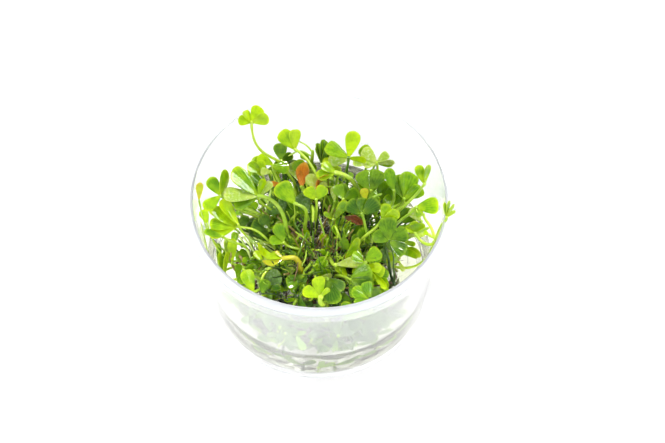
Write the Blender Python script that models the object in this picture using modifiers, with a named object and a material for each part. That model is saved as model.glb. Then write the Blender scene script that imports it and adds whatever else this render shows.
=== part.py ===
"""Marsilea hirsuta grown in tissue culture, in its open plastic cup.

A clear cup with a rolled rim holds a disc of nutrient gel. A mat of roots sits in a hollow of the
gel, and the plantlets stand on it: thin leaf stalks, each ending in one to four wedge-shaped
leaflets like a water clover's. The origin is under the middle of the cup, +Z up, and the sizes
below are millimetres, turned to metres when a mesh is made.
"""

import math

import bmesh
import bpy
from mathutils import Euler, Matrix, Vector

MM = 0.001
GAP = 0.3

# Cup
CUP_HEIGHT = 65.0
RIM_RADIUS = 50.0
MOUTH_RADIUS = 46.0
FOOT_RADIUS = 41.5
WALL = 0.9
FLANGE = 1.2
SKIRT_HEIGHT = 5.0
SKIRT_WALL = 0.8
BASE_RAISE = 3.2
BASE_PLATE = 1.2
BASE_CORNER = 0.8
FOOT_RING_WIDTH = 2.8
EDGE = 0.5
LIP = 1.5
CUP_STEPS = 36

# Gel and root mat
GEL_TOP = 21.5
GEL_CORNER = 1.4
BOWL_RADIUS = 33.5
BOWL_DEPTH = 8.0
GEL_STEPS = 30
MAT_RADIUS = 33.0
MAT_SEAT = 0.45
MAT_RIM = 0.2
MAT_CROWN = 8.5
MAT_SHOULDER = 2.5
MAT_LOBES = 5
MAT_LOBE_HEIGHT = 0.7
MAT_STEPS = 20

# Leaf stalks
STALK_FOOT_RADIUS = 0.75
STALK_TIP_RADIUS = 0.5
STALK_PIECES = 4
STALK_SINK = 0.45
FOOT_LIFT = 0.5
HEEL_RISE = 0.62
NECK_REACH = 0.28
NECK_RISE = 0.3

# Leaflets
LEAF_THICKNESS = 0.5
LEAF_WIDTH = 0.8
LEAF_SEGMENTS = 7
LEAF_ROOT = 0.3
LEAF_MIDDLE = 0.55
LEAF_TAPER = 0.8
LEAF_ROUNDNESS = 5
LEAF_CUPPING = 0.12
LEAF_ARCH = 0.10
CREASE = 50
FACE_VIEWER = (-90, 58)

TINTS = {
    "bright": (0.42, 0.66, 0.03),
    "green": (0.22, 0.47, 0.03),
    "dark": (0.08, 0.26, 0.03),
    "pale": (0.55, 0.75, 0.30),
    "yellow": (0.72, 0.62, 0.05),
    "orange": (0.72, 0.25, 0.03),
    "dead": (0.28, 0.06, 0.02),
}


def plantlet(name, tint, foot, stalks, turn=0):
    """Stalks that share one foot (x, y) on the mat or the gel. turn is in degrees about that foot,
    anticlockwise from above, and sets the plantlet aside from a neighbour."""
    return dict(name=name, tint=tint, foot=foot, stalks=stalks, turn=turn)


def stalk(tip, leaves, neck=None, heel=None, foot=None, face=FACE_VIEWER, thick=1.0,
          wide=LEAF_WIDTH):
    """One leaf stalk. tip is where its leaflets meet, and each leaflet is (turn, length, roll):
    degrees clockwise from upwards as seen facing the leaf, millimetres, and degrees about its own
    length. heel and neck are the curve's handles, measured from its foot and from its tip."""
    return dict(tip=tip, leaves=leaves, neck=neck, heel=heel, foot=foot, face=face, thick=thick,
                wide=wide)


# The ones that stand out come first; the hidden and lower ones follow.
PLANTLETS = [
    plantlet("tall_clover", "bright", (-9, 15), [
        stalk((-25.0, 31.8, 66), [(-40, 5.0, 45), (-80, 5.0, 10), (28, 6.0, 0), (72, 6.4, 10)],
              neck=(0, -3, -17), wide=0.95)]),
    plantlet("big_round_leaf", "bright", (-5.5, 3), [
        stalk((-9.3, 4.8, 52), [(-40, 9.2, 0)], neck=(7, -2, -1), wide=0.95)]),
    plantlet("fan_clover", "bright", (-12, 0), [
        stalk((-22.9, 9.1, 50), [(-42, 12.0, 15), (-90, 12.5, 25), (-118, 9.5, 20), (12, 6.5, 40)],
              neck=(10, -1, 1), wide=0.62)]),
    plantlet("heart_at_the_back", "bright", (3, 16), [
        stalk((-9.4, 30, 50), [(-38, 8.5, 0), (-4, 7.5, 30)], neck=(6, -1, -3))]),
    plantlet("spoon_at_the_back", "bright", (10, 23), [
        stalk((11.1, 26.4, 50), [(13, 9.5, 0), (-62, 8.0, 35), (95, 6.5, 45)],
              neck=(0, -1, -10), wide=0.7)]),
    plantlet("left_clover", "bright", (-18, 7.5), [
        stalk((-36.8, 9.2, 50.5), [(4, 8.6, 65), (-33, 6.4, 0), (-130, 7.0, 10)],
              neck=(5, -2, -6), wide=0.75)]),
    plantlet("pale_clover_at_the_back", "pale", (18, 15), [
        stalk((21.7, 25.5, 48), [(-45, 7.2, 0), (45, 5.6, 30), (82, 6.5, 60), (-100, 5.0, 20)],
              neck=(2, -3, -6))]),
    plantlet("rabbit_ears", "bright", (25, 4), [
        stalk((39.1, 9.6, 58), [(-22, 7.2, 15), (8, 7.2, 50)], neck=(-4, -2, -9), wide=0.62)]),
    plantlet("right_round_leaf", "bright", (24.5, 0), [
        stalk((35.9, 4.2, 53), [(80, 8.2, 0), (150, 5.0, 35)], neck=(-3, -1, -8), wide=0.9),
        stalk((31.8, 2.2, 40), [(42, 6.6, 15), (98, 6.2, 20)], wide=0.9)]),
    plantlet("climbing_plantlet", "bright", (26, -7), [
        stalk((41.8, -10.2, 42), [], foot=(27.5, -7.2, 26.2), heel=(8, -2, -1.0),
              neck=(-0.3, 0.3, -14), thick=1.25),
        stalk((45.8, -11, 68), [(-14, 5.4, 55), (4, 6.0, 55), (24, 5.4, 55), (48, 4.0, 40)],
              foot=(41.8, -10.2, 41), neck=(-4.2, 0.9, -1.5), wide=0.5),
        stalk((39.8, -2.0, 47), [(-50, 4.6, 30)], foot=(41.8, -10.0, 41), neck=(0.5, -3, -2)),
        stalk((35.6, -2.5, 43), [(-72, 4.6, 50), (62, 5.6, 55)], foot=(41.7, -10.2, 41),
              neck=(2.5, -4, -2), wide=0.5),
        stalk((40.6, -7.6, 50), [(-60, 2.4, 0)], foot=(41.8, -10.2, 41), neck=(-1.5, 1.5, -3),
              wide=0.9)]),
    plantlet("large_dark_clover", "dark", (28.5, -13), [
        stalk((25.9, -6.4, 44), [(-5, 8.6, 0), (62, 7.4, 0), (-68, 6.4, 10), (122, 7.2, 15)],
              neck=(2, -4, -7), wide=0.95)]),
    plantlet("round_leaf_by_the_front", "dark", (6, -15), [
        stalk((11.8, -20.0, 38), [(62, 8.4, 0), (108, 8.6, 0), (152, 7.0, 10)],
              neck=(-3, 3, -2), wide=0.95)]),
    plantlet("glossy_front_leaf", "dark", (-1, -19), [
        stalk((3.3, -21.9, 42), [(163, 9.2, 0), (118, 7.0, 20)], neck=(-2, 3, -3), wide=0.8)]),
    plantlet("funnel_at_the_front", "bright", (3, -25.5), [
        stalk((0.7, -29, 42), [(-12, 7.0, 25), (-66, 6.8, 0), (38, 5.0, 50)], neck=(2, -3, -8))]),
    plantlet("heart_on_the_right", "bright", (14, -3), [
        stalk((23.5, 0.1, 48), [(18, 6.2, 20), (64, 6.8, 20)], neck=(-3, -3, -7))], turn=1),
    plantlet("bluish_clover", "dark", (19.5, -2), [
        stalk((15.8, 2.9, 48), [(-52, 6.8, 0), (50, 7.6, 10), (-2, 6.0, 25)],
              neck=(2, -3, -8), wide=0.95)]),
    plantlet("twin_leaves", "bright", (-1, 6), [
        stalk((-1.1, 7.8, 50), [(-40, 6.2, 0), (32, 6.6, 0)], neck=(0.5, -2, -8), wide=0.95)]),
    plantlet("spoon_on_the_right", "green", (24, 10), [
        stalk((28.0, 13.0, 48), [(-15, 8.4, 0)], neck=(1, -3, -8), wide=0.6)]),
    plantlet("arching_stalk", "bright", (16, 18), [
        stalk((6.0, 22.6, 45), [(-58, 6.2, 20), (-102, 7.2, 30)], neck=(7, -2.5, 3), thick=1.2)]),
    plantlet("pleated_fan", "green", (22, 12.5), [
        stalk((31.9, 11.5, 44), [(-22, 8.2, 10), (16, 8.8, 10), (60, 7.0, 25)],
              neck=(-2, -2, -8), wide=0.9)], turn=3),
    plantlet("round_on_the_left", "pale", (-10, -8.5), [
        stalk((-21.2, -18.7, 32), [(62, 7.6, 0)], neck=(-1, 6, 7), wide=0.95)]),
    plantlet("front_left_leaf", "bright", (-15, -14), [
        stalk((-24.9, -21.7, 32), [(-20, 8.6, 10), (-75, 5.0, 30)], wide=0.7)], turn=2),
    plantlet("sideways_clover", "bright", (-16.5, -2), [
        stalk((-31.0, 0.5, 42), [(-54, 10.8, 20), (-84, 10.0, 20), (-106, 10.4, 15)],
              neck=(6, -1, 2), wide=0.55)]),
    plantlet("yellow_leaf_at_the_left", "yellow", (-21, -4.5), [
        stalk((-43.8, 0.6, 61), [(0, 5.6, 50)], neck=(2.0, 0.8, -14), wide=0.6)]),
    plantlet("oval_leaf_at_the_left", "bright", (-21, -7), [
        stalk((-41.2, -2.0, 49), [(-28, 4.8, 0)], neck=(5, -2, -7), wide=0.7)]),
    plantlet("upright_leaf", "bright", (-19, -9), [
        stalk((-33.0, -8.4, 31), [(0, 8.8, 15)], neck=(3, -1, -4), wide=0.5)]),
    plantlet("narrow_pair", "bright", (-21.5, -12.5), [
        stalk((-36.0, -13.0, 29), [(-10, 10.0, 60), (6, 10.2, 65)], neck=(3, 0, -3), wide=0.5)], turn=7),
    plantlet("drooping_dark_leaf", "dark", (-19.5, -16), [
        stalk((-28.5, -12.5, 33), [(190, 5.4, 0), (70, 5.0, 30)], wide=0.8)]),
    plantlet("arching_yellow_leaf", "yellow", (-7, -12.5), [
        stalk((-14.2, -6.8, 36), [(-100, 7.2, 40), (-60, 4.0, 20)], neck=(6, -2, 4))]),
    plantlet("pale_leaf_in_the_middle", "pale", (-6, -4), [
        stalk((-13.1, -2.4, 38), [(-14, 7.4, 10), (-70, 5.6, 20)], neck=(2, -2, -4))], turn=10),
    plantlet("teal_clover", "dark", (-12, 6), [
        stalk((-18.9, 2.0, 37), [(-70, 7.0, 10), (-30, 6.4, 20), (-112, 6.0, 10)], wide=0.9),
        stalk((-8.0, 9.5, 38), [(-20, 6.4, 15), (70, 6.6, 25)], wide=0.9)]),
    plantlet("dark_round_leaf", "dark", (-3, -8), [
        stalk((-6.0, -16.0, 34), [(-122, 6.8, 0)], neck=(1, 3, -2), wide=0.95)]),
    plantlet("triangular_leaf", "green", (-5, -14), [
        stalk((-2.2, -13.5, 34), [(48, 6.8, 10), (102, 7.0, 30)], neck=(-2, -1, -3))]),
    plantlet("leaf_by_the_bend", "bright", (7, -11.5), [
        stalk((17.5, -13.3, 37), [(112, 7.6, 0), (152, 6.4, 30)], neck=(-6, 1, 2), wide=0.7)]),
    plantlet("round_leaf_on_the_right", "green", (12, -8), [
        stalk((17.8, -11.0, 40), [(48, 6.8, 0), (-60, 6.6, 20)], wide=0.95)]),
    plantlet("pale_front_leaf", "pale", (3, -8), [
        stalk((6.7, -13.2, 38), [(74, 9.4, 15)], neck=(-1, 2, -5), wide=0.55)], turn=-6),
    plantlet("brown_tipped_leaf", "yellow", (7, -6), [
        stalk((9.6, -10.8, 36), [(28, 9.6, 35)], wide=0.45)]),
    plantlet("dead_leaf", "dead", (8, 6), [
        stalk((9.1, 5.5, 39), [(96, 7.6, 35)], wide=0.55)]),
    plantlet("bright_leaf_in_the_middle", "bright", (4, 2.5), [
        stalk((5.6, 4.0, 42), [(32, 8.2, 25), (-58, 4.6, 40)], wide=0.6)]),
    plantlet("orange_leaf", "orange", (-3, 12.5), [
        stalk((-6.8, 18.5, 42), [(2, 8.2, 20)], wide=0.55)]),
    plantlet("orange_edged_leaf", "pale", (4, 12), [
        stalk((-0.4, 18.0, 41), [(-22, 6.8, 15), (50, 4.6, 30)])], turn=7),
    plantlet("translucent_leaf", "pale", (-5, 18), [
        stalk((-6.4, 23.4, 37), [(-18, 8.8, 0), (50, 6.6, 15)], wide=0.95)]),
    plantlet("dark_leaf_at_the_back", "dark", (-8, 22), [
        stalk((-14.4, 29, 44), [(-6, 6.6, 0), (55, 4.8, 30)], wide=0.95)]),
    plantlet("folded_clover_at_the_back", "dark", (4.5, 21.5), [
        stalk((1.1, 27.6, 44), [(-16, 6.6, 65), (0, 7.6, 60), (16, 6.2, 55)], wide=0.7)]),
    plantlet("clover_at_the_back", "bright", (-12.5, 19), [
        stalk((-20.0, 26.8, 41), [(-54, 6.8, 20), (-92, 7.2, 10), (84, 5.4, 0), (130, 5.4, 20)],
              wide=0.9)]),
    plantlet("pink_bud", "orange", (-9.5, 9.5), [
        stalk((-13.6, 19.0, 44), [(-82, 4.0, 0)], wide=0.65)], turn=6),
    plantlet("dark_wedge_leaf", "dark", (-14.5, 12), [
        stalk((-21.5, 17.5, 36), [(-48, 7.8, 20), (-10, 7.0, 45)], wide=0.6)]),
    plantlet("dark_clover_on_the_right", "dark", (15, 11), [
        stalk((19.6, 15.5, 44), [(-26, 8.0, 0), (22, 8.2, 0), (165, 6.4, 15)], wide=0.95),
        stalk((9.0, 11.0, 45), [(-30, 6.0, 15), (60, 6.4, 20)], wide=0.9)]),
    plantlet("curled_leaf_on_the_right", "yellow", (21.5, -7.5), [
        stalk((30.0, -4.8, 34), [(84, 7.6, 35), (-130, 6.2, 0)], wide=0.6)]),
    plantlet("diagonal_leaf", "green", (14, -14), [
        stalk((20.2, -16.5, 33), [(134, 9.2, 25), (172, 5.4, 10)], wide=0.5)]),
    plantlet("small_front_leaf", "bright", (7.5, -21.5), [
        stalk((10.5, -32.5, 36), [(-8, 6.2, 0), (40, 5.4, 20)])]),
    plantlet("front_right_leaf", "green", (15.5, -23), [
        stalk((18.6, -29.1, 40), [(-60, 7.2, 0), (-14, 6.4, 10), (-112, 6.2, 0)])], turn=2),
    plantlet("leaf_by_the_front_wall", "pale", (18.5, -22), [
        stalk((19.6, -35.5, 29), [(5, 7.6, 0)], wide=0.9)]),
    plantlet("low_leaf_by_the_front_wall", "pale", (9.5, -26.5), [
        stalk((7.0, -38.0, 29), [(-15, 7.6, 0), (60, 6.2, 10)], wide=0.9)]),
    plantlet("low_leaf_at_the_front_left", "green", (-8, -22), [
        stalk((-14.5, -34.0, 28), [(-20, 7.4, 0), (45, 6.6, 10)], wide=0.9)]),
]


def wall_outer(z):
    """Radius of the cup's outer side at a height: it widens evenly from foot to mouth."""
    return FOOT_RADIUS + (MOUTH_RADIUS + WALL - FOOT_RADIUS) * z / (CUP_HEIGHT - FLANGE)


def wall_inner(z):
    return wall_outer(z) - WALL


def bowl(r):
    """Height of the hollow in the gel at a distance from the middle."""
    return GEL_TOP - BOWL_DEPTH * (1 - (r / BOWL_RADIUS) ** 2)


def mat_top(x, y):
    """Height of the root mat's lumpy crown."""
    r = min(1, math.hypot(x, y) / MAT_RADIUS)
    lobes = MAT_LOBE_HEIGHT * math.sin(MAT_LOBES * math.atan2(y, x)) * math.sin(math.pi * r)
    return GEL_TOP + MAT_RIM + MAT_CROWN * (1 - r**MAT_SHOULDER) + lobes


def ground(x, y):
    """Height at which a plantlet's foot stands clear of the mat, or of the gel around it."""
    top = mat_top(x, y) if math.hypot(x, y) < BOWL_RADIUS else GEL_TOP
    return top + GAP + FOOT_LIFT


def clear_scene():
    for old in list(bpy.data.objects):
        bpy.data.objects.remove(old)


def new_collection(name):
    collection = bpy.data.collections.new(name)
    bpy.context.scene.collection.children.link(collection)
    return collection


def material(name, colour, roughness, transmission=0.0, ior=1.45):
    made = bpy.data.materials.get(name)
    if made is None:
        made = bpy.data.materials.new(name)
        made.use_nodes = True
        shader = made.node_tree.nodes["Principled BSDF"]
        shader.inputs["Base Color"].default_value = (*colour, 1)
        shader.inputs["Roughness"].default_value = roughness
        shader.inputs["Transmission Weight"].default_value = transmission
        shader.inputs["IOR"].default_value = ior
    return made


def add_object(name, mesh, collection, mat):
    obj = bpy.data.objects.new(name, mesh)
    collection.objects.link(obj)
    mesh.materials.clear()
    mesh.materials.append(mat)
    return obj


def baked(obj):
    """The mesh that an object's modifiers or bevel make of it."""
    graph = bpy.context.evaluated_depsgraph_get()
    return bpy.data.meshes.new_from_object(obj.evaluated_get(graph))


def turned(name, section, steps, collection, mat):
    """A turned piece from the (radius, height) corners of its section, which closes on itself."""
    mesh = bpy.data.meshes.new(name)
    points = [(r * MM, 0, z * MM) for r, z in section]
    edges = [(i - 1, i) for i in range(len(points)) if points[i - 1][0] > 0 or points[i][0] > 0]
    mesh.from_pydata(points, [(i % len(points), j) for i, j in edges], [])
    obj = add_object(name, mesh, collection, mat)
    screw = obj.modifiers.new("turn", "SCREW")
    screw.steps = steps
    screw.render_steps = steps
    screw.use_merge_vertices = True
    screw.merge_threshold = 0.01 * MM
    screw.use_smooth_shade = True
    return obj


def make_cup(collection):
    skirt_bottom = CUP_HEIGHT - SKIRT_HEIGHT
    flange_under = CUP_HEIGHT - FLANGE
    ring_inner = FOOT_RADIUS - FOOT_RING_WIDTH
    plate_top = BASE_RAISE + BASE_PLATE
    outside = [
        (RIM_RADIUS - EDGE, CUP_HEIGHT),
        (RIM_RADIUS, CUP_HEIGHT - EDGE),
        (RIM_RADIUS, skirt_bottom),
        (RIM_RADIUS - SKIRT_WALL, skirt_bottom),
        (RIM_RADIUS - SKIRT_WALL, flange_under),
        (wall_outer(flange_under), flange_under),
        (wall_outer(GEL_TOP), GEL_TOP),
        (wall_outer(EDGE), EDGE),
        (FOOT_RADIUS - EDGE, 0),
        (ring_inner, 0),
        (ring_inner, BASE_RAISE),
        (0, BASE_RAISE),
    ]
    inside = [
        (0, plate_top),
        (wall_inner(plate_top) - BASE_CORNER, plate_top),
        (wall_inner(plate_top + BASE_CORNER), plate_top + BASE_CORNER),
        (wall_inner(CUP_HEIGHT - LIP), CUP_HEIGHT - LIP),
        (MOUTH_RADIUS + EDGE, CUP_HEIGHT),
    ]
    clear_plastic = material("clear_plastic", (0.95, 0.96, 0.97), 0.12, 0.8, 1.49)
    return turned("cup", outside + inside, CUP_STEPS, collection, clear_plastic)


def make_gel(collection):
    low = BASE_RAISE + BASE_PLATE + GAP
    section = [
        (wall_inner(GEL_TOP) - GAP, GEL_TOP),
        (wall_inner(low + GEL_CORNER) - GAP, low + GEL_CORNER),
        (wall_inner(low) - GAP - GEL_CORNER, low),
        (0, low),
    ]
    section += [(part * BOWL_RADIUS, bowl(part * BOWL_RADIUS)) for part in (0, 0.45, 0.8, 1)]
    gel = material("nutrient_gel", (0.93, 0.96, 0.90), 0.05, 1.0, 1.34)
    return turned("gel", section, GEL_STEPS, collection, gel)


def make_root_mat(collection):
    section = [(part * MAT_RADIUS, GEL_TOP + MAT_RIM + MAT_CROWN * (1 - part**MAT_SHOULDER))
               for part in (0, 0.3, 0.6, 0.85, 1)]
    section += [(part * MAT_RADIUS, bowl(part * MAT_RADIUS) + MAT_SEAT) for part in (0.85, 0.6, 0)]
    roots = material("roots", (0.10, 0.08, 0.05), 0.6)
    mat = turned("root_mat", section, MAT_STEPS, collection, roots)
    mat.data = baked(mat)
    mat.modifiers.clear()
    for vertex in mat.data.vertices:
        x, y, z = vertex.co / MM
        if z > GEL_TOP:
            vertex.co.z = mat_top(x, y) * MM
    return mat


def bezier(points, t):
    a, b, c, d = points
    s = 1 - t
    return a * s**3 + b * (3 * s * s * t) + c * (3 * s * t * t) + d * t**3


def stalk_line(foot, one):
    """Points up the middle of a stalk: it leaves its foot upwards and bends towards its neck."""
    start, tip = Vector(foot), Vector(one["tip"])
    rise = tip.z - start.z
    out = Vector((tip.x - start.x, tip.y - start.y, 0))
    heel = one["heel"] or (0, 0, HEEL_RISE * rise)
    neck = one["neck"] or (-NECK_REACH * out.x, -NECK_REACH * out.y, -NECK_RISE * rise)
    handles = (start, start + Vector(heel), tip + Vector(neck), tip)
    return [bezier(handles, i / STALK_PIECES) for i in range(STALK_PIECES + 1)]


def stalk_mesh(points, thick):
    """A tapered tube along the points, with flat ends, in millimetres."""
    curve = bpy.data.curves.new("stalk", "CURVE")
    curve.dimensions = "3D"
    curve.bevel_depth = 1
    curve.bevel_resolution = 0
    curve.use_fill_caps = True
    line = curve.splines.new("POLY")
    line.points.add(len(points) - 1)
    for i, (point, place) in enumerate(zip(line.points, points)):
        along = i / (len(points) - 1)
        point.co = (*place, 1)
        point.radius = thick * (STALK_FOOT_RADIUS + (STALK_TIP_RADIUS - STALK_FOOT_RADIUS) * along)
    holder = bpy.data.objects.new("stalk", curve)
    bpy.context.scene.collection.objects.link(holder)
    mesh = baked(holder)
    bpy.data.objects.remove(holder)
    bm = bmesh.new()
    bm.from_mesh(mesh)
    bmesh.ops.remove_doubles(bm, verts=bm.verts, dist=0.01)
    bmesh.ops.recalc_face_normals(bm, faces=bm.faces)
    bm.to_mesh(mesh)
    bm.free()
    return mesh


def half_width(along):
    """Outline of a leaflet, at most about 1: a wedge at its base that swells to a round end."""
    return 1.16 * along**LEAF_TAPER * math.sqrt(max(0.0, 1 - along**LEAF_ROUNDNESS))


def leaf_mesh(one, leaf):
    """One leaflet as a cupped sheet at the tip of its stalk, in millimetres."""
    turn, length, roll = leaf
    bm = bmesh.new()
    bmesh.ops.create_circle(bm, segments=LEAF_SEGMENTS, radius=1, cap_ends=True, cap_tris=True)
    for vertex in bm.verts:
        on_rim = vertex.co.length > 0.5
        along = (1 + vertex.co.y) / 2 if on_rim else LEAF_MIDDLE
        side = math.copysign(1, vertex.co.x) if on_rim and abs(vertex.co.x) > 1e-6 else 0
        across = side * half_width(along) * length * one["wide"] / 2
        lift = LEAF_CUPPING * abs(across) + LEAF_ARCH * length * along**2
        vertex.co = Vector((across, along * length - LEAF_ROOT, lift))
    bmesh.ops.transform(bm, matrix=leaf_place(one, turn, roll), verts=bm.verts)
    mesh = bpy.data.meshes.new("leaflet")
    bm.to_mesh(mesh)
    bm.free()
    return mesh


def leaf_place(one, turn, roll):
    """Turns a leaflet that lies along +Y, facing +Z, to its direction at the stalk's tip."""
    azimuth, elevation = (math.radians(a) for a in one["face"])
    normal = Vector((math.cos(azimuth) * math.cos(elevation),
                     math.sin(azimuth) * math.cos(elevation), math.sin(elevation)))
    upwards = Vector((0, 0.854, 0.52))
    upwards = (upwards - normal * upwards.dot(normal)).normalized()
    rightwards = upwards.cross(normal)
    facing = Matrix((rightwards, upwards, normal)).transposed().to_4x4()
    turned_by = Euler((0, 0, -math.radians(turn))).to_matrix().to_4x4()
    rolled_by = Euler((0, math.radians(roll), 0)).to_matrix().to_4x4()
    return Matrix.Translation(Vector(one["tip"])) @ facing @ turned_by @ rolled_by


def grown_mesh(base, stalks, cutters):
    """All the stalks and leaflets of one plantlet as one body, with its foot at the origin."""
    pieces = []
    for one in stalks:
        line = stalk_line(one["foot"] or base, one)
        pieces.append((stalk_mesh(line, one["thick"]), False))
        sink = (line[-2] - line[-1]).normalized() * STALK_SINK
        for leaf in one["leaves"]:
            mesh = leaf_mesh(one, leaf)
            mesh.transform(Matrix.Translation(sink))
            pieces.append((mesh, True))
    body = bpy.data.objects.new("growing", pieces[0][0])
    bpy.context.scene.collection.objects.link(body)
    helpers = [body]
    for mesh, is_leaf in pieces[1:]:
        helper = bpy.data.objects.new("grown_on", mesh)
        helper.hide_render = True
        helper.display_type = "WIRE"
        cutters.objects.link(helper)
        if is_leaf:
            plate = helper.modifiers.new("thickness", "SOLIDIFY")
            plate.thickness = LEAF_THICKNESS
            plate.offset = 0
        union = body.modifiers.new("grow", "BOOLEAN")
        union.operation = "UNION"
        # EXACT leaves some of these thin unions open.
        union.solver = "MANIFOLD"
        union.object = helper
        helpers.append(helper)
    mesh = baked(body)
    for helper in helpers:
        bpy.data.objects.remove(helper)
    mesh.transform(Matrix.Scale(MM, 4) @ Matrix.Translation(-Vector(base)))
    return mesh


def make_plantlet(one, collection, cutters):
    base = (*one["foot"], ground(*one["foot"]))
    mesh = grown_mesh(base, one["stalks"], cutters)
    mesh.name = one["name"]
    leaf = material("leaf_" + one["tint"], TINTS[one["tint"]], 0.35)
    obj = add_object(one["name"], mesh, collection, leaf)
    obj.location = Vector(base) * MM
    obj.rotation_euler.z = math.radians(one["turn"])
    mesh.shade_smooth()
    mesh.set_sharp_from_angle(angle=math.radians(CREASE))


def main():
    clear_scene()
    parts = new_collection("tissue_culture_marsilea")
    cutters = new_collection("growing_helpers")
    make_cup(parts)
    make_gel(parts)
    make_root_mat(parts)
    for one in PLANTLETS:
        make_plantlet(one, parts, cutters)


main()
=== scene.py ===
import math
import re

import bpy
import numpy as np
from mathutils import Euler, Matrix, Vector


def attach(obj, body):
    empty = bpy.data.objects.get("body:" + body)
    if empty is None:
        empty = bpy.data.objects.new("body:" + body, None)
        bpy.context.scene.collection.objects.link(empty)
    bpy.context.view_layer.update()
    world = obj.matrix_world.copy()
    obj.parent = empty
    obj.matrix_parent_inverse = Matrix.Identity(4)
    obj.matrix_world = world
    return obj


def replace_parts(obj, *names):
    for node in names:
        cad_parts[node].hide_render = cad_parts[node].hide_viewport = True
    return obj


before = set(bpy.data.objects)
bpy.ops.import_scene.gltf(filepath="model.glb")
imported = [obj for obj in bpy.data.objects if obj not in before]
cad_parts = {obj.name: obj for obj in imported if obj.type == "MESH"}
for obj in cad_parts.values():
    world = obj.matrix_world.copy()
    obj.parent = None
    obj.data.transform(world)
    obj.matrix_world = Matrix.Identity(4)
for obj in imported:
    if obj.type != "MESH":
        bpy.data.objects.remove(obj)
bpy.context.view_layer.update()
mm = 0.001  # pieces are measured in millimetres; camera, lights, floor and finishes in metres
print("frame loaded:", len(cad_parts), "nodes")

cameraSet = {
    "place": (0.0, -0.37198, 0.65799),
    "turn": (31.3215, -0.3386, -0.2126),  # degrees
    "lens": 104.48,                       # on a 36 mm sensor
}
lightSet = {
    "horizon": 1.16,  # brightness of the sky low down and overhead
    "zenith": 0.30,
    "boxes": [  # name, place, width, watts
        ("keyBox", (-0.55, 0.55, 1.15), 0.24, 10.8),
        ("fillBox", (0.75, -0.05, 1.0), 0.40, 6.4),
        ("frontBox", (-0.45, -0.80, 0.75), 0.13, 3.2),
    ],
    "floor": (0.93, 0.93, 0.935),
    "floorSize": 6.0,
}


def makeCamera():
    camera = bpy.data.objects.new("camera", bpy.data.cameras.new("camera"))
    bpy.context.scene.collection.objects.link(camera)
    camera.location = cameraSet["place"]
    camera.rotation_euler = [math.radians(angle) for angle in cameraSet["turn"]]
    camera.data.lens = cameraSet["lens"]
    camera.data.sensor_width = 36
    camera.data.clip_start = 0.01
    bpy.context.scene.camera = camera


def makeLight():
    scene = bpy.context.scene
    scene.view_settings.view_transform = "Standard"
    scene.world = bpy.data.worlds.new("sky")
    scene.world.use_nodes = True
    tree = scene.world.node_tree
    sky = tree.nodes["Background"]
    way = addNode(tree, "SeparateXYZ", {0: addNode(tree, "TexCoord").outputs["Generated"]})
    glow = spread(tree, way.outputs["Z"], 0.1, 0.85, lightSet["horizon"], lightSet["zenith"])
    tree.links.new(glow, sky.inputs["Strength"])
    sky.inputs["Color"].default_value = (1, 1, 1, 1)
    for name, place, width, watts in lightSet["boxes"]:
        lamp = bpy.data.lights.new(name, "AREA")
        lamp.shape = "DISK"
        lamp.size = width
        lamp.energy = watts
        box = bpy.data.objects.new(name, lamp)
        box.location = place
        box.rotation_euler = (-Vector(place)).to_track_quat("-Z", "Y").to_euler()
        scene.collection.objects.link(box)


# A node with its settings, and its inputs from values or from other nodes' outputs.
def addNode(tree, kind, inputs=None, **settings):
    node = tree.nodes.new("ShaderNode" + kind)
    for key, value in settings.items():
        setattr(node, key, value)
    for key, value in (inputs or {}).items():
        if isinstance(value, bpy.types.NodeSocket):
            tree.links.new(value, node.inputs[key])
        else:
            node.inputs[key].default_value = value
    return node


def mathNode(tree, operation, *values, clamp=False):
    node = addNode(tree, "Math", dict(enumerate(values)), operation=operation, use_clamp=clamp)
    return node.outputs[0]


def mixColour(tree, amount, first, second, blend="MIX"):
    node = addNode(tree, "Mix", {0: amount, 6: first, 7: second}, data_type="RGBA", blend_type=blend)
    return node.outputs[2]


def spread(tree, value, low, high, toLow=0.0, toHigh=1.0):
    node = addNode(tree, "MapRange", {0: value, 1: low, 2: high, 3: toLow, 4: toHigh})
    return node.outputs[0]


def newGroup(name, inputs, outputs):
    group = bpy.data.node_groups.new(name, "ShaderNodeTree")
    for socket, kind, value in inputs:
        made = group.interface.new_socket(socket, in_out="INPUT", socket_type="NodeSocket" + kind)
        made.default_value = value
    for socket, kind in outputs:
        group.interface.new_socket(socket, in_out="OUTPUT", socket_type="NodeSocket" + kind)
    enter = group.nodes.new("NodeGroupInput").outputs
    leave = group.nodes.new("NodeGroupOutput").inputs
    return group, enter, leave


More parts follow.
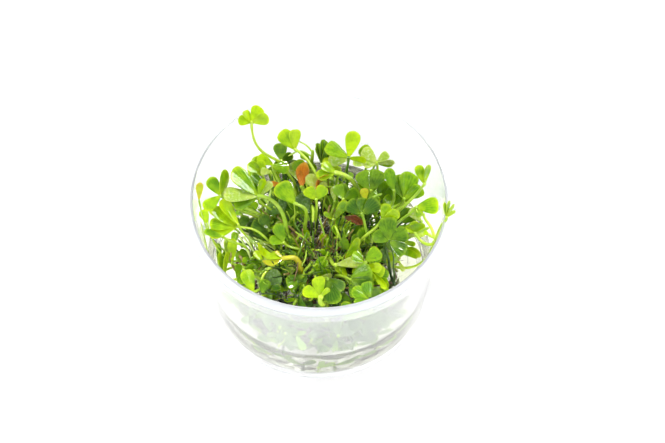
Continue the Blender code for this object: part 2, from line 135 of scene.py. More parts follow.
# Colour of a leaflet: its age, a paler middle at the base, fine veins that fan out, blotches and an edge.
# The lighter edge is a painted glow of light through the thin edge with a painted highlight; whitish
# blotches are painted wet glints.
def makeBladeGroup():
    group, enter, leave = newGroup("leafBlade", [
        ("Young", "Color", (0.5, 0.7, 0.03, 1)),
        ("Old", "Color", (0.2, 0.5, 0.03, 1)),
        ("Edge", "Color", (0.6, 0.7, 0.05, 1)),
        ("Blotch", "Color", (0.1, 0.1, 0.02, 1)),
        ("Blotches", "Float", 0.2),
        ("Edging", "Float", 0.5),
        ("Veins", "Float", 0.5),
    ], [("Color", "Color"), ("Roughness", "Float"), ("Gloss", "Float"), ("Height", "Float")])
    place = addNode(group, "TexCoord").outputs["Object"]
    lie = addNode(group, "UVMap", uv_map="lie").outputs[0]
    across, along = addNode(group, "SeparateXYZ", {0: lie}).outputs[:2]
    age = addNode(group, "Attribute", attribute_name="age").outputs["Fac"]
    cloud = addNode(group, "TexNoise", {"Vector": place, "Scale": 320, "Detail": 3}).outputs[0]
    spots = addNode(group, "TexNoise", {"Vector": place, "Scale": 1100, "Detail": 4}).outputs[0]
    wobble = mathNode(group, "MULTIPLY", spots, 0.06)
    fan = mathNode(group, "SINE", mathNode(group, "MULTIPLY", mathNode(group, "ADD", across, wobble), 94))
    vein = mathNode(group, "MULTIPLY", spread(group, fan, 0.2, 1.0), enter["Veins"])
    aged = mathNode(group, "ADD", age, spread(group, cloud, 0.35, 0.65, -0.32, 0.32), clamp=True)
    colour = mixColour(group, aged, enter["Young"], enter["Old"])
    colour = mixColour(group, spread(group, along, 0.0, 0.5, 0.45, 0.0), colour, enter["Edge"])
    colour = mixColour(group, mathNode(group, "MULTIPLY", vein, 0.25), colour, enter["Edge"])
    # Painted light: towards the outline the colour turns to the lighter edge colour, a painted glow through
    # the thin edge and a painted highlight; yellow, orange and dead leaves keep their own edge colour here.
    rim = mathNode(group, "MULTIPLY", spread(group, along, 0.86, 1.0), enter["Edging"])
    colour = mixColour(group, rim, colour, enter["Edge"])
    # Blotches: for most tints a darker mottling of the leaf's own; the whitish blotch colour of pale and
    # teal leaves is a painted wet glint.
    patch = mathNode(group, "MULTIPLY", spread(group, spots, 0.52, 0.66), enter["Blotches"])
    colour = mixColour(group, patch, colour, enter["Blotch"])
    group.links.new(colour, leave["Color"])
    group.links.new(spread(group, cloud, 0.3, 0.7, 0.26, 0.44), leave["Roughness"])
    group.links.new(spread(group, spots, 0.38, 0.6, 1.0, 0.35), leave["Gloss"])
    height = mathNode(group, "ADD", mathNode(group, "MULTIPLY", vein, 0.5), cloud)
    group.links.new(height, leave["Height"])
    return group


# Colour of a stalk or a root: two tones by the piece's own age, with streaks and specks: darker specks of
# dirt on most finishes, pale grey ones on sunken bits, and on roots and the bed pale specks that are painted
# wet glints.
def makeStemGroup():
    group, enter, leave = newGroup("stemSkin", [
        ("Light", "Color", (0.5, 0.6, 0.2, 1)),
        ("Dark", "Color", (0.2, 0.1, 0.05, 1)),
        ("Speck", "Color", (0.05, 0.03, 0.02, 1)),
        ("Specks", "Float", 0.2),
        ("Grain", "Float", 900.0),
    ], [("Color", "Color"), ("Roughness", "Float"), ("Gloss", "Float"), ("Height", "Float")])
    place = addNode(group, "TexCoord").outputs["Object"]
    age = addNode(group, "Attribute", attribute_name="age").outputs["Fac"]
    cloud = addNode(group, "TexNoise", {"Vector": place, "Scale": 260, "Detail": 3}).outputs[0]
    grain = addNode(group, "TexNoise", {"Vector": place, "Scale": enter["Grain"], "Detail": 5}).outputs[0]
    aged = mathNode(group, "ADD", age, spread(group, cloud, 0.3, 0.7, -0.3, 0.3), clamp=True)
    colour = mixColour(group, aged, enter["Light"], enter["Dark"])
    # Partly painted light: the speck colour is dirt on most finishes, but the near-white specks on roots and
    # the paler specks on the bed are painted wet glints.
    patch = mathNode(group, "MULTIPLY", spread(group, grain, 0.5, 0.64), enter["Specks"])
    colour = mixColour(group, patch, colour, enter["Speck"])
    group.links.new(colour, leave["Color"])
    group.links.new(spread(group, grain, 0.3, 0.7, 0.3, 0.6), leave["Roughness"])
    group.links.new(spread(group, cloud, 0.4, 0.6, 0.8, 0.2), leave["Gloss"])
    group.links.new(grain, leave["Height"])
    return group


# Moulded plastic and gel: broad waviness with fine scratches or ripples.
def makeClearGroup():
    group, enter, leave = newGroup("clearSkin", [
        ("Wave", "Float", 60.0),
        ("Grain", "Float", 1500.0),
        ("Smooth", "Float", 0.1),
        ("Dull", "Float", 0.2),
    ], [("Roughness", "Float"), ("Height", "Float")])
    place = addNode(group, "TexCoord").outputs["Object"]
    wave = addNode(group, "TexNoise", {"Vector": place, "Scale": enter["Wave"], "Detail": 2}).outputs[0]
    grain = addNode(group, "TexNoise", {"Vector": place, "Scale": enter["Grain"], "Detail": 3}).outputs[0]
    rough = addNode(group, "MapRange", {0: grain, 1: 0.35, 2: 0.7, 3: enter["Smooth"], 4: enter["Dull"]})
    group.links.new(rough.outputs[0], leave["Roughness"])
    group.links.new(mathNode(group, "ADD", wave, mathNode(group, "MULTIPLY", grain, 0.05)), leave["Height"])
    return group


bladeGroup = makeBladeGroup()
stemGroup = makeStemGroup()
clearGroup = makeClearGroup()

bladeFinishes = {  # colours are linear; "through" is how much light soaks in, "clear" how much passes
    # Edge colours lighter than the leaf paint the glow of light through a thin edge and an edge highlight;
    # the yellow, orange and dead edge colours are the leaves' own.
    "bright": {"young": (0.44, 0.66, 0.002), "old": (0.12, 0.31, 0.002), "edge": (0.66, 0.82, 0.02),
               "blotch": (0.10, 0.26, 0.004), "blotches": 0.28, "edging": 0.5, "veins": 0.5,
               "through": 0.35, "clear": 0.0},
    "green": {"young": (0.26, 0.48, 0.002), "old": (0.08, 0.25, 0.002), "edge": (0.50, 0.70, 0.02),
              "blotch": (0.04, 0.14, 0.005), "blotches": 0.32, "edging": 0.40, "veins": 0.6,
              "through": 0.30, "clear": 0.0},
    "dark": {"young": (0.18, 0.37, 0.004), "old": (0.035, 0.13, 0.004), "edge": (0.38, 0.58, 0.02),
             "blotch": (0.015, 0.06, 0.01), "blotches": 0.35, "edging": 0.45, "veins": 0.5,
             "through": 0.22, "clear": 0.0},
    # The whitish blotch colours of pale and teal leaves are painted wet glints; the other tints' blotches
    # are their own darker mottling.
    "pale": {"young": (0.60, 0.78, 0.10), "old": (0.34, 0.54, 0.06), "edge": (0.76, 0.86, 0.22),
             "blotch": (0.84, 0.92, 0.62), "blotches": 0.40, "edging": 0.5, "veins": 0.6,
             "through": 0.40, "clear": 0.12},
    "teal": {"young": (0.10, 0.22, 0.03), "old": (0.025, 0.09, 0.015), "edge": (0.26, 0.42, 0.09),
             "blotch": (0.50, 0.62, 0.40), "blotches": 0.28, "edging": 0.45, "veins": 0.5,
             "through": 0.30, "clear": 0.15},
    "yellow": {"young": (0.66, 0.72, 0.03), "old": (0.40, 0.50, 0.02), "edge": (0.66, 0.36, 0.05),
               "blotch": (0.40, 0.14, 0.02), "blotches": 0.35, "edging": 0.6, "veins": 0.4,
               "through": 0.30, "clear": 0.0},
    "orange": {"young": (0.80, 0.24, 0.02), "old": (0.55, 0.20, 0.01), "edge": (0.85, 0.50, 0.10),
               "blotch": (0.16, 0.05, 0.02), "blotches": 0.4, "edging": 0.5, "veins": 0.5,
               "through": 0.25, "clear": 0.0},
    "dead": {"young": (0.30, 0.06, 0.02), "old": (0.10, 0.03, 0.015), "edge": (0.42, 0.16, 0.06),
             "blotch": (0.03, 0.012, 0.01), "blotches": 0.5, "edging": 0.4, "veins": 0.7,
             "through": 0.1, "clear": 0.0},
}
stemFinishes = {
    "stalk": {"light": (0.58, 0.80, 0.06), "dark": (0.28, 0.50, 0.02), "speck": (0.24, 0.18, 0.03),
              "specks": 0.10, "grain": 700.0, "through": 0.3, "bump": 0.15},
    "paleStalk": {"light": (0.74, 0.88, 0.30), "dark": (0.44, 0.66, 0.10), "speck": (0.30, 0.40, 0.08),
                  "specks": 0.10, "grain": 700.0, "through": 0.3, "bump": 0.15},
    "yellowStalk": {"light": (0.72, 0.70, 0.03), "dark": (0.50, 0.36, 0.02), "speck": (0.30, 0.12, 0.02),
                    "specks": 0.20, "grain": 600.0, "through": 0.3, "bump": 0.15},
    "darkStalk": {"light": (0.14, 0.30, 0.02), "dark": (0.015, 0.05, 0.008), "speck": (0.03, 0.02, 0.01),
                  "specks": 0.20, "grain": 800.0, "through": 0.1, "bump": 0.2},
    "sunken": {"light": (0.13, 0.17, 0.03), "dark": (0.025, 0.04, 0.010), "speck": (0.45, 0.45, 0.35),
               "specks": 0.30, "grain": 700.0, "through": 0.1, "bump": 0.3},
    "thread": {"light": (0.40, 0.38, 0.34), "dark": (0.16, 0.14, 0.12), "speck": (0.05, 0.04, 0.03),
               "specks": 0.20, "grain": 1500.0, "through": 0.0, "bump": 0.2},
    "brownStalk": {"light": (0.45, 0.33, 0.10), "dark": (0.13, 0.05, 0.02), "speck": (0.03, 0.02, 0.01),
                   "specks": 0.35, "grain": 900.0, "through": 0.1, "bump": 0.25},
    "runner": {"light": (0.45, 0.50, 0.12), "dark": (0.10, 0.05, 0.02), "speck": (0.02, 0.015, 0.01),
               "specks": 0.45, "grain": 1100.0, "through": 0.1, "bump": 0.3},
    # The near-white specks of roots and the paler specks of the bed below are painted wet glints.
    "root": {"light": (0.30, 0.24, 0.14), "dark": (0.022, 0.016, 0.010), "speck": (0.95, 0.95, 0.90),
             "specks": 0.50, "grain": 1600.0, "through": 0.0, "bump": 0.5},
    "bed": {"light": (0.055, 0.05, 0.02), "dark": (0.012, 0.010, 0.006), "speck": (0.20, 0.22, 0.10),
            "specks": 0.6, "grain": 1300.0, "through": 0.0, "bump": 0.9},
}


# Colours get their fourth value here; other values stay as they are.
def opaque(value):
    return (*value, 1) if isinstance(value, tuple) else value


def newMaterial(name, sockets):
    material = bpy.data.materials.new(name)
    material.use_nodes = True
    tree = material.node_tree
    shader = tree.nodes["Principled BSDF"]
    for socket, value in sockets.items():
        shader.inputs[socket].default_value = value
    return material, tree, shader


# Sets a group's inputs from values, and joins what it puts out to the shader.
def skinMaterial(name, group, values, sockets, bump, depth):
    material, tree, shader = newMaterial(name, sockets)
    asked = [item.name for item in group.interface.items_tree if item.in_out == "INPUT"]
    skin = addNode(tree, "Group", {key: opaque(values[key.lower()]) for key in asked}, node_tree=group)
    for output, socket in (("Color", "Base Color"), ("Roughness", "Roughness"), ("Gloss", "Coat Weight")):
        if output in skin.outputs:
            tree.links.new(skin.outputs[output], shader.inputs[socket])
    height = addNode(tree, "Bump", {"Strength": bump, "Distance": depth, "Height": skin.outputs["Height"]})
    tree.links.new(height.outputs[0], shader.inputs["Normal"])
    return material


def bladeMaterial(tint):
    values = bladeFinishes[tint]
    sockets = {"Coat Roughness": 0.05, "Specular IOR Level": 0.25, "Specular Tint": (0.85, 1.0, 0.35, 1),
               "Subsurface Weight": values["through"], "Subsurface Radius": (0.9, 1.0, 0.25),
               "Subsurface Scale": 0.001, "Transmission Weight": values["clear"]}
    return skinMaterial("leaf" + tint.capitalize(), bladeGroup, values, sockets, bump=0.55, depth=0.0004)


def stemMaterial(kind):
    values = stemFinishes[kind]
    sockets = {"Coat Roughness": 0.1, "Subsurface Weight": values["through"],
               "Subsurface Radius": (0.9, 1.0, 0.3), "Subsurface Scale": 0.001}
    return skinMaterial(kind + "Skin", stemGroup, values, sockets, values["bump"], depth=0.0002)


clearFinishes = {
    "clearPlastic": {"colour": (0.975, 0.98, 0.99), "clear": 0.88, "bends": 1.49, "wave": 45.0,
                     "grain": 1800.0, "smooth": 0.02, "dull": 0.05, "bump": 0.12, "depth": 0.0004},
    # The rim's copy of the clear plastic is less clear, which is milky haze, and darker and bluer, which is
    # painted shade for the grey-lavender line along the flange.
    "milkyShadedRim": {"colour": (0.85, 0.87, 0.91), "clear": 0.66, "bends": 1.49, "wave": 45.0,
                 "grain": 1800.0, "smooth": 0.02, "dull": 0.05, "bump": 0.12, "depth": 0.0004},
    "nutrientGel": {"colour": (0.86, 0.88, 0.70), "clear": 1.0, "bends": 1.33, "wave": 160.0,
                    "grain": 900.0, "smooth": 0.02, "dull": 0.06, "bump": 0.25, "depth": 0.0006},
}


def clearMaterial(name):
    values = clearFinishes[name]
    sockets = {"Base Color": opaque(values["colour"]), "IOR": values["bends"],
               "Transmission Weight": values["clear"]}
    return skinMaterial(name, clearGroup, values, sockets, values["bump"], values["depth"])


# Collects tubes, leaflets and other meshes, and makes one piece of them.
class Bunch:
    def __init__(self):
        self.verts, self.faces, self.finish, self.lie, self.age = [], [], [], [], []
        self.count = 0

    # finish is one material's place in the list, or a list with one for each face.
    def add(self, verts, faces, lie, age, finish=0):
        self.verts.append(verts)
        self.faces += [tuple(corner + self.count for corner in face) for face in faces]
        self.finish += finish if isinstance(finish, list) else [finish] * len(faces)
        self.lie.append(lie)
        self.age.append(np.full(len(verts), age))
        self.count += len(verts)

    def piece(self, name, materials, crease=55):
        mesh = bpy.data.meshes.new(name)
        mesh.from_pydata((np.concatenate(self.verts) * mm).tolist(), [], self.faces)
        for material in materials:
            mesh.materials.append(material)
        mesh.polygons.foreach_set("material_index", self.finish)
        corners = np.empty(len(mesh.loops), dtype=np.int32)
        mesh.loops.foreach_get("vertex_index", corners)
        lie = mesh.uv_layers.new(name="lie")
        lie.data.foreach_set("uv", np.concatenate(self.lie)[corners].ravel())
        age = mesh.attributes.new("age", "FLOAT", "POINT")
        age.data.foreach_set("value", np.concatenate(self.age))
        mesh.shade_smooth()
        mesh.set_sharp_from_angle(angle=math.radians(crease))
        made = bpy.data.objects.new(name, mesh)
        bpy.context.scene.collection.objects.link(made)
        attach(made, "root")
        return made


def unit(vectors):
    return vectors / np.maximum(np.linalg.norm(vectors, axis=-1, keepdims=True), 1e-9)


# A smooth curve from the first of four handles to the last.
def handleCurve(handles, steps):
    a, b, c, d = (np.array(handle, float) for handle in handles)
    t = np.linspace(0, 1, steps)[:, None]
    s = 1 - t
    return a * s**3 + b * (3 * s * s * t) + c * (3 * s * t * t) + d * t**3


# A round tube along a path, closed at both ends: (verts, faces, lie).
def tube(path, radii, sides):
    path = np.asarray(path, float)
    rings = len(path)
    ahead = unit(np.gradient(path, axis=0))
    aside = unit(np.cross(ahead[0], (0.31, 0.82, 0.48)))
    turn = np.linspace(0, 2 * math.pi, sides, endpoint=False)[:, None]
    verts = []
    for point, way, radius in zip(path, ahead, radii):
        aside = unit(aside - way * np.dot(aside, way))
        verts.append(point + radius * (np.cos(turn) * aside + np.sin(turn) * np.cross(way, aside)))
    ends = [path[0] - ahead[0] * radii[0] * 0.6, path[-1] + ahead[-1] * radii[-1] * 0.6]
    verts = np.concatenate(verts + [np.array(ends)])
    faces = []
    for ring in range(rings - 1):
        for k in range(sides):
            a, b = ring * sides + k, ring * sides + (k + 1) % sides
            faces.append((a, b, b + sides, a + sides))
    first, last = rings * sides, rings * sides + 1
    top = (rings - 1) * sides
    for k in range(sides):
        after = (k + 1) % sides
        faces.append((first, after, k))
        faces.append((last, top + k, top + after))
    lie = np.stack([np.tile(np.arange(sides) / sides, rings), np.repeat(np.linspace(0, 1, rings), sides)], 1)
    return verts, faces, np.concatenate([lie, [[0.5, 0.0], [0.5, 1.0]]])


leafSet = {
    "taper": 0.8,       # the outline's wedge towards the base
    "roundness": 5,     # its round far end
    "fullness": 1.16,   # its width as a share of its length, before a leaf's own share of that
    "base": 0.10,       # where the sides leave the base, as a share of the length
    "thick": 0.30,
    "edge": 0.09,       # thickness at the edge
    "cupping": 0.12,
    "arch": 0.10,
    "root": 0.3,        # how far a leaflet's base reaches back past the point where they meet
    "sink": 0.45,       # how far it sinks into its stalk's tip
    "scale": 1.07,      # real length for each millimetre in the tables below
    "upwards": (0, 0.854, 0.52),  # what the photograph shows as upwards
}


# Points along a leaflet's edge, evenly spaced, from its left side over its end to its right side.
def leafOutline(columns):
    farEnd = 0.9 + 0.1 * np.sin(np.linspace(0.02, 1.5708, 60))
    along = np.concatenate([np.linspace(leafSet["base"], 0.9, 60), farEnd])
    along[-1] = 1.0
    roundEnd = np.sqrt(np.maximum(0, 1 - along**leafSet["roundness"]))
    half = leafSet["fullness"] * along**leafSet["taper"] * roundEnd / 2
    left = np.stack([-half, along], 1)
    right = np.stack([half, along], 1)[::-1]
    edge = np.concatenate([left, right[1:]])
    walked = np.concatenate([[0], np.cumsum(np.linalg.norm(np.diff(edge, axis=0), axis=1))])
    even = np.linspace(0, walked[-1], columns)
    return np.stack([np.interp(even, walked, edge[:, 0]), np.interp(even, walked, edge[:, 1])], 1)


# One leaflet as a thin closed sheet along +Y, facing +Z. form sets how it is folded, pleated and waved.
def leafSheet(length, wide, form, columns, rows, rng):
    edge = leafOutline(columns) * (length * wide, length)
    t = 1 - (1 - np.linspace(0, 1, rows)) ** 1.35
    t = (0.04 + 0.96 * t)[:, None]
    s = np.linspace(-1, 1, columns)[None, :]
    wander = 1 + form["ragged"] * np.sin(s * 9 + rng.uniform(0, 6)) * t**3
    x = t * edge[:, 0] * wander
    y = t * edge[:, 1] * wander
    along = y / length
    lift = leafSet["cupping"] * form["cup"] * (np.sqrt(x * x + 0.35) - 0.59)
    lift += leafSet["arch"] * form["arch"] * length * along**2
    lift += form["fold"] * np.abs(x) ** 1.15
    lift += form["pleat"] * length * t * np.cos(form["pleats"] * math.pi * s) * (1 - 0.5 * s * s)
    phase = rng.uniform(0, 2 * math.pi, 2)
    lift += form["wave"] * length * t**3 * (np.sin(s * 4.2 + phase[0]) + 0.5 * np.sin(s * 9.1 + phase[1]))
    lift += form["curl"] * length * np.maximum(0, along - 0.45) ** 2 * 2.2
    near = np.minimum(1, np.maximum(t**7, np.abs(s) ** 9 * np.ones_like(t)))
    half = (leafSet["thick"] + (leafSet["edge"] - leafSet["thick"]) * near) / 2
    top = np.stack([x, y - leafSet["root"], lift + half], -1).reshape(-1, 3)
    under = np.stack([x, y - leafSet["root"], lift - half], -1).reshape(-1, 3)
    size = rows * columns
    faces = []
    for r in range(rows - 1):
        for c in range(columns - 1):
            a = r * columns + c
            faces.append((a, a + 1, a + columns + 1, a + columns))
            faces.append((a + size, a + columns + size, a + columns + 1 + size, a + 1 + size))
    loop = list(range(columns))
    loop += [r * columns + columns - 1 for r in range(1, rows)]
    loop += [(rows - 1) * columns + c for c in range(columns - 2, -1, -1)]
    loop += [r * columns for r in range(rows - 2, 0, -1)]
    for i, a in enumerate(loop):
        b = loop[(i + 1) % len(loop)]
        faces.append((b, a, a + size, b + size))
    lie = np.stack([np.broadcast_to(s * 0.5 + 0.5, x.shape), np.broadcast_to(t, x.shape)], -1).reshape(-1, 2)
    return np.concatenate([top, under]), faces, np.concatenate([lie, lie])


# The matrix that turns a leaflet to its direction at the stalk's tip.
def leafPlace(face, turn, roll):
    azimuth, elevation = (math.radians(angle) for angle in face)
    normal = Vector((math.cos(azimuth) * math.cos(elevation),
                     math.sin(azimuth) * math.cos(elevation), math.sin(elevation)))
    upwards = Vector(leafSet["upwards"])
    upwards = (upwards - normal * upwards.dot(normal)).normalized()
    facing = Matrix((upwards.cross(normal), upwards, normal)).transposed()
    turned = Euler((0, 0, -math.radians(turn))).to_matrix()
    rolled = Euler((0, math.radians(roll), 0)).to_matrix()
    return np.array(facing @ turned @ rolled)


plainForm = {"cup": 1.0, "arch": 1.0, "fold": 0.0, "pleat": 0.0, "pleats": 6, "wave": 0.012, "curl": 0.0,
             "ragged": 0.012}
forms = {
    "plain": {},
    "cupped": {"cup": 2.2, "arch": 1.4},
    "folded": {"fold": 0.42, "cup": 0.6},
    "pleated": {"pleat": 0.035, "pleats": 7, "wave": 0.02, "ragged": 0.02},
    "curled": {"curl": 0.8, "wave": 0.03},
    "drooping": {"curl": -0.7, "arch": -0.4, "cup": -0.8},
    "withered": {"wave": 0.06, "curl": 0.5, "ragged": 0.06, "pleat": 0.03, "pleats": 5},
}


# foot is its (x, y) on the mat, turn is degrees about that foot, and age runs from 0, young, to 1, old.
def plantlet(name, tint, foot, stalks, turn=0, stem="stalk", age=None):
    return dict(name=name, tint=tint, foot=foot, stalks=stalks, turn=turn, stem=stem, age=age)


faceViewer = (-90, 58)  # azimuth and elevation of a leaf's face


# tip is where the leaflets meet. Each leaflet is (turn, length, roll): degrees clockwise from
# upwards as seen facing it, millimetres, and degrees about its own length. heel and neck are the
# curve's handles, from its foot and from its tip.
def stalk(tip, leaves, neck=None, heel=None, foot=None, face=faceViewer, thick=1.0, wide=0.8):
    return dict(tip=tip, leaves=leaves, neck=neck, heel=heel, foot=foot, face=face, thick=thick, wide=wide)


